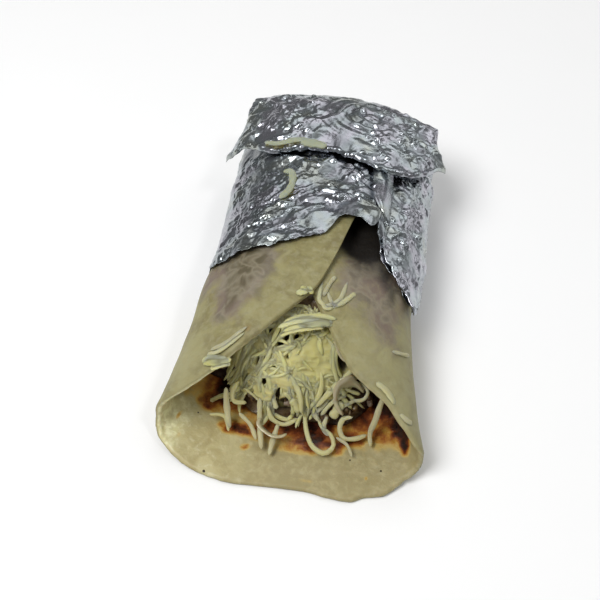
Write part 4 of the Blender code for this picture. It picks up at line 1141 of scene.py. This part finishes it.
def facets(u, v, size, seed, direction=0.0, stretch=1.0):
    """A crumple of flat triangles, from -1 to 1.

    A lattice of squares (stretched along the direction, in radians, and pushed out of line by a cloud)
    has a random height at each corner. Each square is cut along one of its diagonals, and each half is flat.
    """
    draw = np.random.default_rng(seed)
    cells = 64
    corner = draw.uniform(-1.0, 1.0, (cells, cells))
    other_way = draw.uniform(size=(cells, cells)) < 0.5
    place = flat(u, v) / size
    along, aside = turned_axes(place[..., 0], place[..., 1], direction)
    along = along / stretch + 0.4 * cloud(place, 2.7, seed)
    aside = aside + 0.4 * cloud(place + 9.0, 2.7, seed)
    i, j = np.floor(along).astype(int), np.floor(aside).astype(int)
    a, b = along - i, aside - j
    i, j, next_i, next_j = i % cells, j % cells, (i + 1) % cells, (j + 1) % cells
    h00, h10, h01, h11 = corner[i, j], corner[next_i, j], corner[i, next_j], corner[next_i, next_j]
    lower = h00 + a * (h10 - h00) + b * (h01 - h00)
    upper = h11 + (1.0 - a) * (h01 - h11) + (1.0 - b) * (h10 - h11)
    right, left = h00 + a * (h10 - h00) + b * (h11 - h10), h00 + a * (h11 - h01) + b * (h01 - h00)
    return np.where(other_way[i, j], np.where(a > b, right, left), np.where(a + b < 1.0, lower, upper))


def valley_shade(height):
    """Painted shade, 1 in the valleys of a height grid: how far each point lies below the mean of four near
    it.
    """
    reach = 2
    near = np.pad(height, reach, mode="edge")
    rows, columns = near[:, reach:-reach], near[reach:-reach]
    around = rows[: -2 * reach] + rows[2 * reach :] + columns[:, : -2 * reach] + columns[:, 2 * reach :]
    return 0.42 * np.clip((0.25 * around - height) / 0.00013, 0.0, 1.0) ** 1.3


def glints(seed, count, low, high, direction):
    """Small random folds between two corners in mm, facing about one way, as rows like the wide ones'."""
    draw = np.random.default_rng(seed)
    place = draw.uniform(low, high, (count, 2)) * MM
    turned = np.radians(direction + draw.normal(0.0, 14.0, count))
    reach, near, far = (draw.uniform(*span, count) for span in ((0.9, 1.7), (0.8, 1.3), (0.6, 1.0)))
    height = near * draw.uniform(0.55, 0.8, count)
    return np.column_stack([place, turned, reach * MM, near * MM, far * MM, height * MM])


# Folds with one wide face: across, along, direction in degrees, half length, the two widths, height, in mm
FOLD_UNITS = (MM, MM, DEGREE, MM, MM, MM, MM)
SLEEVE_PANELS = in_units(FOLD_UNITS, (
    (0, 79.6, 12, 5.5, 6.5, 0.8, 0.62), (-6.5, 76.2, 62, 3.2, 0.9, 4.2, 0.7),
    (4.5, 86.9, 8, 4.6, 1.5, 2.4, 0.95), (1.5, 90.4, -14, 4.4, 1.1, 2.2, 0.85),
    (6, 88.4, -24, 2.8, 1, 1.6, 0.7), (-4.5, 85.6, 38, 3.6, 1.2, 2.6, 0.9), (-2, 82, 28, 4.2, 0.9, 1.8, 0.6),
    (-13, 88.5, 40, 3.2, 0.8, 1.6, 0.7), (-11, 80, 24, 5, 1, 2, 0.8), (-16.5, 76.5, 18, 5.2, 0.9, 1.8, 0.8),
    (-9, 73, 30, 4.6, 1.2, 3.4, 0.85), (-19, 68.5, 16, 5, 1.6, 3.6, 0.85), (-25.5, 66, 24, 4.4, 2.2, 3, 0.8),
    (-14, 66.6, 30, 4, 2.2, 2.2, 0.85), (-7, 68.2, 34, 3, 2, 1.6, 0.6), (-30, 63.8, 20, 3.6, 1.6, 2.4, 0.65),
    (-21, 73.5, 12, 4.4, 0.8, 2, 0.65), (10.5, 96.4, -30, 2.6, 1, 1.6, 0.75),
    (14.6, 97.6, -34, 3.6, 1.7, 1.6, 1.1), (13, 93.5, -18, 3.4, 1.8, 2.2, 0.8),
    (7, 99, 70, 1.8, 0.9, 1.1, 0.5), (1, 105.6, 14, 1.4, 1.2, 1, 0.72), (6.2, 104.4, -26, 1.9, 1.4, 1, 0.9),
    (10.4, 100.6, -30, 1.8, 1.2, 1, 0.75), (4, 100.5, 76, 1.8, 0.8, 1.1, 0.5),
    (9.5, 91, 82, 3, 1.4, 1.2, 0.45), (12, 85.5, -40, 3.4, 1.4, 2.6, 0.6),
))
OVERLAP_PANELS = in_units(FOLD_UNITS, (
    (28.5, 88, 70, 5, 1.6, 3, 0.6), (24, 79, 80, 5, 1.2, 3.2, 0.5), (30, 99, 60, 4, 2, 2, 0.6),
))
TAIL_PANELS = in_units(FOLD_UNITS, (
    (13, 108.8, 8, 7, 0.6, 4.6, 0.5), (-6, 133, 64, 6, 1.6, 4, 0.7), (3, 130, 58, 7, 1.8, 2.6, 0.8),
    (-2.5, 124, 28, 6, 3, 2, 0.7), (9, 122, 10, 5, 2.4, 1.6, 0.6), (8.5, 134, 80, 4, 2.6, 1.6, 0.7),
    (17, 131, 50, 3.6, 1.6, 2.2, 0.9), (22, 124, 120, 4, 1.8, 2, 0.9), (26, 114, 60, 4, 2, 1.8, 0.9),
    (16, 117.5, 30, 4, 1.6, 2, 0.8), (-20, 113.5, 8, 6, 1, 1.8, 0.7), (31, 121, 70, 4, 1.8, 2, 0.9),
    (-31, 123, 110, 3.6, 1.4, 1.6, 0.8), (-15, 128, 48, 3.2, 1, 1.8, 0.6), (30, 132, 84, 3.6, 2, 2.2, 0.9),
))
# Smoother places: (across, along, reach across, reach along, how calm)
CALM_UNITS = (MM, MM, MM, MM, 1)
SLEEVE_CALM = in_units(CALM_UNITS, (
    (-0.5, 76.2, 5.6, 4.2, 0.9), (11.5, 78.5, 5.5, 5, 0.85), (9, 84.5, 4, 3, 0.6), (-44, 88, 8, 30, 0.8),
    (5, 94, 9, 5, 0.45), (14.4, 97, 3.6, 2.4, 0.8), (6, 104.2, 6, 2.2, 0.6), (3, 89.4, 5, 2, 0.55),
))
OVERLAP_CALM = in_units(CALM_UNITS, ((19.5, 94, 4.8, 14, 0.97), (25, 98, 5.5, 5, 0.8)))
TAIL_CALM = in_units(CALM_UNITS, (
    (13, 110.8, 7.5, 3.4, 0.9), (1, 127, 8.5, 14, 0.86), (-2, 113.5, 9, 4, 0.55), (8, 117, 6, 5, 0.6),
))
# The sleeve's torn front edge over the flaps, with its corner that hangs over the right one: (turn, y)
TORN_EDGE = in_units((1, MM), (
    (2.21, 61.2), (2.34, 60.7), (2.42, 61.3), (2.5, 60.8), (2.58, 61.8), (2.66, 61.5), (2.74, 62.8),
    (2.83, 63), (2.9, 64.6), (2.98, 65.7), (3.05, 67.5), (3.11, 68.6), (3.19, 71.6), (3.23, 74.9),
    (3.265, 78.6), (3.31, 80), (3.36, 78.8), (3.42, 77.7), (3.47, 76), (3.51, 74.8), (3.545, 76.2),
    (3.58, 79), (3.6, 81.2),
))
# The overlap's front edge, and its left side: (turn, y) and (y, turn)
OVERLAP_FRONT = in_units((1, MM), (
    (3.66, 79.1), (3.74, 70.1), (3.85, 65.2), (3.94, 61.4), (4.05, 59.5), (4.15, 57.8), (4.21, 54.5),
    (4.28, 53.2), (4.4, 57.2), (4.6, 62.5), (4.85, 68), (5.2, 70),
))
OVERLAP_SIDE = in_units((MM, 1), (
    (79.1, 3.66), (80.3, 3.69), (81.5, 3.71), (83, 3.64), (87, 3.56), (93, 3.51), (100, 3.5), (107, 3.48),
    (118, 3.48),
))
OVERLAP_LAST_TURN = 5.2
# The tail's front edge, torn as in the part but with a fuller left ear: (x, y)
TAIL_FRONT = in_units((MM, MM), (
    (-39.6, 114.2), (-36.5, 113.2), (-33.5, 113.6), (-30, 112.8), (-25.5, 110.4), (-21, 107.4), (-13, 108.6),
    (-3.7, 109.1), (3, 107.5), (10, 105.3), (16.9, 102.6), (23, 103), (30.4, 106.8), (39.5, 119.5),
))


def calmed(u, v, places):
    """1 where the crumple stays as it is, less in the smoother places."""
    return 1.0 - painted(u, v, places, 2.0)


def patch(u, v, at_u, at_v, reach_u, reach_v):
    """A spot with flatter middle, its place and reaches in mm."""
    return spot(u, v, at_u * MM, at_v * MM, reach_u * MM, reach_v * MM, 2.0)


def sleeve_turns():
    """Turns round the sleeve, close together where it shows from above and further apart underneath."""
    low, high = 1.45, 2.0 * PI - 1.45
    top = np.linspace(low, high, SLEEVE_TOP)
    under = np.linspace(high, 2.0 * PI + low, SLEEVE_UNDER + 2)[1:-1]
    return np.concatenate([top, under]) % (2.0 * PI)


def sleeve_front(turn):
    """Where the sleeve starts along the roll: a straight-cornered torn edge on top, smooth elsewhere."""
    at, value = TORN_EDGE.T
    plain = through(wrap_angle(turn), FOIL_FRONT) + 0.01 * bell((wrap_angle(turn) - 1.25) / 0.42)
    return np.where((turn > at[0]) & (turn < at[-1]), np.interp(turn, at, value), plain)


def hollow(turn, y):
    """The sleeve bridges from the left flap's edge to its own right part here, clear of the right flap."""
    return HOLLOW_DEPTH * bell((turn - 3.47) / 0.16) * smooth((0.1 - y) / 0.022)


def normal_side(normal, grid):
    """Which way each normal has to point to face away from the roll's middle line."""
    middle = grid * np.array([0.0, 1.0, 0.0]) + np.array([0.0, 0.0, MIDDLE_HEIGHT])
    return np.sign((normal * (grid - middle)).sum(axis=-1))


def closing_loop(share, full):
    """The sleeve's end: the underside rises and the top falls until they meet at the rear fold."""
    turn = 0.5 * PI * share
    x = full[:, 0] * (1.0 + np.where(full[:, 0] < 0.0, -0.1, 0.02) * share)
    rear = through(x, REAR_EDGE) - 0.0008
    y = full[:, 1] + (rear - full[:, 1]) * math.sin(turn)
    z = MEET_HEIGHT + (full[:, 2] - MEET_HEIGHT) * (1.0 - (1.0 - math.cos(turn)) * 0.97)
    return np.stack([x, y, z], axis=-1)


def make_sleeve(finish):
    """The foil sleeve: loops from inside its front edge out over the bread, back and in to the rear fold.

    It is crumpled along its normals by facets of three sizes, calmed in places, and by laid folds. The
    crumple is pressed flat under the overlap and the tail, and leaves a groove beside the overlap.
    """
    turn = sleeve_turns()[None, :]
    tucked = smooth((turn - 3.6) / 0.1) * smooth((5.2 - turn) / 0.2)
    front = sleeve_front(turn) + 0.0003 * cloud(flat(girth(turn)), 0.0012, 91, 2) + 0.0025 * tucked
    inner_share = np.linspace(1.0, 0.0, INNER_LOOPS)[:, None] ** 2.0
    outer_share = np.linspace(0.0, 1.0, SLEEVE_ALONG)[:, None] ** 1.08
    y = front + (CLOSE_START_Y - front) * np.concatenate([inner_share, outer_share])
    is_inner = (np.arange(len(y)) < INNER_LOOPS)[:, None]
    angle = wrap_angle(turn) + 0.0 * y
    thin = 0.0004 * (1.0 - smooth((y - front) / 0.004)) * ~is_inner
    outward = GAP + foil_rest(angle) + FOIL_THICKNESS - INNER_STEP * is_inner - thin + hollow(turn, y)
    base = section(angle, y, outward)
    closing = [closing_loop(share, base[-1]) for share in np.linspace(0.0, 1.0, SLEEVE_CLOSE + 1)[1:]]
    grid = np.concatenate([base, closing])
    steps = np.linalg.norm(np.diff(grid[INNER_LOOPS - 1 :], axis=0), axis=-1)
    v = np.concatenate([y[: INNER_LOOPS - 1], front, front + np.cumsum(steps, axis=0)])
    u = girth(np.broadcast_to(turn, v.shape))

    fine, streaks = patch(u, v, -24.0, 84.0, 13.0, 22.0), patch(u, v, -12.0, 82.0, 16.0, 18.0)
    crumple = 0.0008 * facets(u, v, 4.4 * MM, 101) * (1.0 - 0.65 * fine)
    crumple += 0.00042 * facets(u, v, 2.0 * MM, 102) * (1.0 - 0.5 * streaks)
    crumple += (0.0001 + 0.00012 * fine) * facets(u, v, 0.95 * MM, 103)
    crumple += 0.00046 * streaks * facets(u, v, 1.1 * MM, 104, 0.8, 4.0)
    folds = (*SLEEVE_PANELS, *glints(31, 22, (-4.0, 86.0), (17.0, 106.0), -18.0))
    height = crumple * calmed(u, v, SLEEVE_CALM) + fold_heights(u, v, folds)
    height += 0.00035 * cloud(flat(u, v), 0.009, 95, 2)

    upper = smooth((np.abs(np.sin(0.5 * wrap_angle(turn))) - 0.45) / 0.12)
    shown = np.maximum(upper, smooth((v - 0.122) / 0.008))
    past_side = turn - overlap_side(np.maximum(v, 0.0792))
    covered = smooth((past_side - 0.02) / 0.1) * (v < 0.122)
    groove = bell((past_side + 0.012) / 0.03) * smooth((0.116 - v) / 0.006) * smooth((v - 0.079) / 0.003)
    past_tail = v - through(u, TAIL_FRONT)
    on_top = smooth((0.041 - np.abs(u)) / 0.004)
    under_tail = smooth((past_tail + 0.001) / 0.003) * smooth((0.15 - v) / 0.01) * on_top
    shut = smooth((v - 0.15) / 0.006)
    height *= shown * (1.0 - 0.9 * covered * (turn < 5.3)) * (1.0 - 0.8 * under_tail) * (1.0 - 0.3 * shut)
    height = np.maximum(height - 0.0005 * groove, -SLEEVE_SINK)
    normal = surface_normals(grid, round_columns=True)
    normal *= normal_side(normal, grid)[..., None]
    height[: INNER_LOOPS - 1] *= 0.4
    loops = grid + normal * height[..., None]

    # painted shade: a shadow under the tail's front edge, the groove beside the overlap, the open sleeve and
    # its left part darker, and a black spot by the overlap's foot, over the valleys' shade
    shadow = 0.62 * smooth((past_tail + 0.003) / 0.0028) * smooth((0.124 - v) / 0.004) * on_top
    painted_shade = np.maximum(np.maximum(valley_shade(height), 0.9 * groove), shadow)
    painted_shade += 0.16 * (1.0 - covered) * smooth((v - 0.06) / 0.004) * smooth((0.125 - v) / 0.004)
    painted_shade += 0.16 * patch(u, v, -24.0, 86.0, 12.0, 22.0)
    painted_shade = np.maximum(painted_shade, 0.95 * patch(u, v, 18.6, 80.3, 1.8, 1.3))
    rows, columns = loops.shape[:2]
    faces = [*hose_faces(rows, columns)[:2], zip_cap(loops[-1], (rows - 1) * columns)]
    marks = {"painted_shade": np.append(painted_shade.ravel(), 0.0)}
    return put_mesh("foil_sleeve", hose_points(loops)[:-1], faces, finish, ["foil_wrap"], marks)


def overlap_side(y):
    """The turn at which the overlap's left side lies, down to its front edge's first point."""
    return through(y, OVERLAP_SIDE)


def make_overlap(finish):
    """The foil's right part, which lies on the sleeve: a sheet from its rounded left side down the right.

    A swirl of rings, the cosine of the distance from its middle, is pressed into it.
    """
    across = np.linspace(0.0, 1.0, OVERLAP_AROUND)[:, None]
    share = np.linspace(0.0, 1.0, OVERLAP_ALONG)[None, :]
    first_turn = OVERLAP_FRONT[0, 0]
    turn = first_turn + (OVERLAP_LAST_TURN - first_turn) * across
    front = through(turn, OVERLAP_FRONT) + 0.0004 * cloud(flat(girth(turn)), 0.0014, 92, 2)
    y = front + (OVERLAP_END_Y - front) * share
    turn = turn + (overlap_side(y) - first_turn) * (1.0 - across) ** 1.6
    angle = wrap_angle(turn)
    u, v = girth(turn), y
    edge = smooth((turn - overlap_side(y)) * 0.034 / 0.0014)
    swirl_away = np.hypot(u - 0.0262, v - 0.0975)
    swirl = 0.00022 * np.cos(2.0 * PI * swirl_away / 0.0026) * bell(swirl_away / 0.0042)
    lobe = 0.0006 * spot(u, v, 0.0225, 0.09, 0.006, 0.01)
    crumple = 0.0006 * facets(u, v, 3.6 * MM, 201, 1.3, 1.6) + 0.00038 * facets(u, v, 1.7 * MM, 202)
    crumple += 0.00016 * facets(u, v, 0.9 * MM, 203)
    folds = (*OVERLAP_PANELS, *glints(32, 16, (23.0, 62.0), (36.0, 112.0), -55.0))
    height = crumple * calmed(u, v, OVERLAP_CALM) + fold_heights(u, v, folds)
    height += swirl + lobe + 0.00025 * cloud(flat(u, v), 0.008, 96, 2)
    height = np.maximum(height, -OVERLAP_SINK) * edge * smooth((5.25 - turn) / 0.4)
    lower = GAP + foil_rest(angle) + FOIL_THICKNESS + 0.00035 + 0.0004 * edge
    lower = lower + hollow(turn, y) * 0.8 - 0.0003 * (1.0 - smooth((y - front) / 0.003))
    outer = section(angle, y, lower + height + 0.00035 * edge)
    inner = section(angle, y, lower + height - 0.00012)
    # painted shade in the valleys, and a black spot at the overlap's front corner
    painted_shade = np.maximum(valley_shade(height), 0.95 * patch(u, v, 19.4, 80.4, 1.5, 1.2))
    points, marks = np.stack([outer, inner]), {"painted_shade": np.stack([painted_shade, painted_shade])}
    return put_mesh("foil_overlap", points, sheet_faces(*u.shape), finish, ["foil_wrap"], marks)


def tail_height(x, y):
    """The height of the tail's middle: over the sleeve's top, and less steep at its ears."""
    crown = through(y, CROWN_HEIGHT) + FOIL_TOP
    side = through(y, SIDE_HEIGHT) + FOIL_LIFT
    across = np.minimum(np.abs(x) / 0.0412, 0.97)
    top = side + crown * (1.0 - across**CROWN_POWER) ** (1.0 / CROWN_POWER)
    return top + TAIL_CLEARANCE + 0.5 * TAIL_THICKNESS + SEAM_STEP * smooth(x / 0.006 + 0.5)


def tail_place(across, share):
    """The tail's middle layer: across from -1 at the left ear to 1, share from the rear fold to the edge."""
    rear_x = np.where(across < 0.0, 0.0332, 0.0355) * across
    edge_x = np.where(across < 0.0, 0.0396, 0.0395) * across
    left_spread = 0.4 * share + 0.6 * np.maximum(0.0, (share - 0.72) / 0.28) ** 1.3
    x = rear_x + (edge_x - rear_x) * np.where(across < 0.0, left_spread, share**2.4)
    rear = through(rear_x, REAR_EDGE)
    y = rear + (through(edge_x, TAIL_FRONT) - rear) * share
    climb = np.sqrt(1.0 - (1.0 - np.minimum(1.0, share / TAIL_SHOULDER)) ** 2)
    z = FOLD_HEIGHT + (tail_height(x, y) - FOLD_HEIGHT) * climb
    return np.stack([x, y, z], axis=-1)


def make_tail(finish):
    """The foil's tail, folded over onto the top: a sheet from the rear fold to a rolled, lifted edge.

    Its top and its underside are crumpled along the normals, and both sink to a crumpled wall at the fold.
    """
    even = np.linspace(-1.0, 1.0, TAIL_ACROSS)[:, None]
    across = 0.35 * np.sin(0.5 * PI * even) + 0.65 * even
    share = np.linspace(0.0, 1.0, TAIL_ALONG)[None, :] ** 1.15
    grid = tail_place(across + 0.0 * share, share + 0.0 * across)
    u = grid[..., 0]
    grid[..., 1] += 0.0005 * cloud(flat(u[:, -1:]), 0.0022, 93, 2) * share**4
    back, front = share * TAIL_LENGTH, (1.0 - share) * TAIL_LENGTH
    wall = np.clip(1.0 - back / 0.0007, 0.0, 1.0) + 0.0 * u
    v = grid[..., 1] + WALL_DROP * wall
    puff = 0.0012 * np.sin(PI * share) * (1.0 + np.cos(3.0 * across + 1.0))
    roll = 0.0006 * bell((front - 0.0009) / 0.001)
    lift = -0.0007 * smooth(1.0 - front / 0.012)
    swirl = 0.00045 * np.sin(2.0 * PI * np.hypot(u - 0.012, (v - 0.128) * 1.3) / 0.0048)
    swirl *= spot(u, v, 0.008, 0.127, 0.01, 0.01)
    crumple = 0.0007 * facets(u, v, 4.0 * MM, 301) + 0.00042 * facets(u, v, 1.9 * MM, 302)
    crumple += 0.00014 * facets(u, v, 0.9 * MM, 303)
    right_glints = glints(33, 34, (8.0, 106.0), (35.0, 138.0), -32.0)
    left_glints = glints(34, 14, (-30.0, 114.0), (-8.0, 140.0), 25.0)
    height = crumple * calmed(u, v, TAIL_CALM)
    height += fold_heights(u, v, (*TAIL_PANELS, *right_glints, *left_glints)) + swirl
    height += 0.0004 * cloud(flat(u, v), 0.009, 97, 2)
    height *= 0.5 + 0.5 * smooth((back - 0.001) / 0.006) + 0.4 * wall
    height = np.maximum(height, -TAIL_SINK)

    half = 0.5 * TAIL_THICKNESS * smooth(front / 0.0008) * smooth(back / 0.0008)
    round_rear = 0.0014 * (1.0 - np.sqrt(1.0 - np.clip(1.0 - back / 0.0014, 0.0, 1.0) ** 2))
    at_rear = 1.0 - smooth(back / 0.003)
    top, low = grid.copy(), grid.copy()
    top[..., 2] += puff + lift + roll + half - round_rear - WALL_DROP * wall
    normal = surface_normals(top)
    outwards = np.where(wall > 0.0, normal[..., 1] + 0.3 * normal[..., 2], normal[..., 2])
    normal *= np.sign(outwards)[..., None]
    top += normal * height[..., None]
    top[..., 1] += 0.0006 * facets(u, v, 2.3 * MM, 305) * at_rear
    low[..., 2] += lift - half - round_rear - 0.0046 * (1.0 - smooth(back / 0.004))
    low += normal * (np.minimum(height, 0.0004) * smooth(1.0 - front / 0.006))[..., None]
    low[..., 1] += (0.0007 * facets(u, v, 1.7 * MM, 306) - 0.0004) * at_rear
    low[..., 2] += 0.0008 * facets(u, v, 2.6 * MM, 307) * at_rear
    # painted shade in the valleys, a darker band across the middle and on the rear wall, and over the whole
    # underside
    painted_shade = valley_shade(height) + 0.16 * bell((u - 0.003) / 0.014) + 0.25 * wall
    points, marks = np.stack([top, low]), {"painted_shade": np.stack([painted_shade, np.full_like(painted_shade, 0.6)])}
    return put_mesh("foil_tail", points, sheet_faces(*u.shape), finish, ["foil_wrap"], marks)


# A hooked shred on the sleeve: (x, y)
HOOK = in_units((MM, MM), (
    (-14.2, 97.6), (-12, 97.8), (-10.7, 94.6), (-11, 88.6), (-13.4, 84.2),
))


def make_foil_crumbs(finish):
    """A hooked shred on the sleeve and flat shreds that are caught along the tail's left edge."""
    hook_x, hook_y = smooth_path(HOOK, SHRED_POINTS).T
    hook = section(np.arcsin((-hook_x / 0.0362) ** 1.15) - PI, hook_y, FOIL_TOP + 0.0012)
    wave = np.linspace(0.0, 1.0, SHRED_POINTS)
    across = np.array([-0.64 + 0.42 * wave, -0.3 + 0.24 * wave])
    share = np.array([0.935 - 0.05 * np.sin(2.4 * wave), 0.925 + 0.05 * wave])
    strips = tail_place(across, share) + np.array([0.0, -0.0004, 0.0014])
    paths = np.concatenate([hook[None], strips])
    width = np.array([0.0025, 0.0022, 0.0036])
    ups = np.array([0.0, -0.1, 1.0]) + 0.0 * paths
    points, faces, tints = ribbons(paths, ups, width, 0.34 * width, np.array([-1.3, -1.3, -1.1]))
    marks = {"tint": tints, "cool": np.ones(len(tints))}
    return put_mesh("cheese_on_foil", points, faces, finish, ["foil_wrap"], marks)


# Burnt crumbs on the bread: (wrap angle, y, size, how far out of the bread's outer face)
SPECKS = in_units((1, MM, MM, MM), (
    (-0.41, 2, 0.42, -1.9), (0.62, 10, 0.28, -1.9), (-2.45, 33, 0.3, 0.2), (0.3, 12.5, 0.24, -1.9),
    (-0.75, 21.5, 0.26, -1.9),
))


def make_specks(finish):
    """Burnt crumbs on the bread's floor and its outer face."""
    angle, y, size, outward = SPECKS.T
    turns = np.random.default_rng(3).uniform(0.0, 2.0, (len(SPECKS), 2)) * np.array([1.0, 0.0])
    sizes = size[:, None] * np.array([1.0, 1.0, 0.6])
    points, faces, _ = blobs(section(angle, y, outward), sizes, turns, 83, 6, 9)
    return put_mesh("burnt_specks", points, faces, finish, ["flatbread"])


# Table, light and camera

FLOOR_HALF_SIZE = 2.0
CAMERA_ELEVATION = math.radians(52.0)
CAMERA_TURN = math.radians(8.7)
CAMERA_AIM = np.array([-0.0037043, 0.058549, 0.02])
CAMERA_DISTANCE = 0.2952163
CAMERA_LENS, CAMERA_SENSOR = 54.0, 36.0
LAMP_AIM = np.array([0.0, 0.0, 0.02])
# Azimuth in degrees from the roll's front towards its right, elevation, distance, size and power
LAMPS = {
    "key_softbox": (-52.0, 60.0, 0.9, 0.42, 6.2),
    "back_card": (-176.0, 58.0, 1.0, 0.66, 1.7),
    "right_card": (132.0, 38.0, 1.0, 0.7, 1.6),
    "right_spark": (62.0, 60.0, 1.0, 0.12, 1.0),
}
ROOM_LIGHT = (0.168, 0.169, 0.168, 1.0)


def make_floor(finish):
    """The table top, a square at height zero."""
    far = FLOOR_HALF_SIZE
    mesh = bpy.data.meshes.new("table_top")
    corners = [(-far, -far, 0.0), (far, -far, 0.0), (far, far, 0.0), (-far, far, 0.0)]
    mesh.from_pydata(corners, [], [(0, 1, 2, 3)])
    mesh.materials.append(finish)
    table = add_object("table_top", mesh)


def way_out(turn, elevation):
    """The way from the roll to a place round it, at a turn from its front towards its right."""
    level = math.cos(elevation)
    return np.array([math.sin(turn) * level, -math.cos(turn) * level, math.sin(elevation)])


def look(thing, place, aim):
    """Stands a lamp or the camera at a place, facing a point."""
    thing.location = place
    thing.rotation_euler = (Vector(aim) - Vector(place)).to_track_quat("-Z", "Y").to_euler()


def make_camera():
    """The camera, which looks down at the roll from in front and a little to one side."""
    lens = bpy.data.cameras.new("camera")
    lens.lens, lens.sensor_width, lens.clip_start = CAMERA_LENS, CAMERA_SENSOR, 0.01
    camera = add_object("camera", lens)
    aim = CAMERA_AIM + SHIFT
    look(camera, aim + way_out(CAMERA_TURN, CAMERA_ELEVATION) * CAMERA_DISTANCE, aim)
    bpy.context.scene.camera = camera


def light_scene():
    """A soft key from the front left and above, wide dim cards behind and to the right, and a pale room."""
    for name, (azimuth, elevation, distance, size, power) in LAMPS.items():
        way = way_out(math.radians(azimuth), math.radians(elevation))
        lamp = bpy.data.lights.new(name, "AREA")
        lamp.size, lamp.energy = size, power
        look(add_object(name, lamp), way * distance + LAMP_AIM, LAMP_AIM)
    world = bpy.data.worlds.new("studio")
    world.use_nodes = True
    world.node_tree.nodes["Background"].inputs["Color"].default_value = ROOM_LIGHT
    bpy.context.scene.world = world
    bpy.context.scene.view_settings.view_transform = "Standard"


def main():
    """Makes every piece, the table, the camera and the lights."""
    cheese, sauce, onion, foil = cheese_finish(), filling_finish(), onion_finish(), foil_finish()
    make_bread(bread_finish())
    make_strays(cheese)
    make_filling(sauce)
    make_bits(sauce)
    for number, place in enumerate(ONIONS, 1):
        make_onion(number, place, onion)
    make_mound(cheese)
    make_shreds(cheese)
    make_sleeve(foil)
    make_overlap(foil)
    make_tail(foil)
    make_foil_crumbs(cheese)
    make_specks(speck_finish())
    make_floor(floor_finish())
    make_camera()
    light_scene()


main()
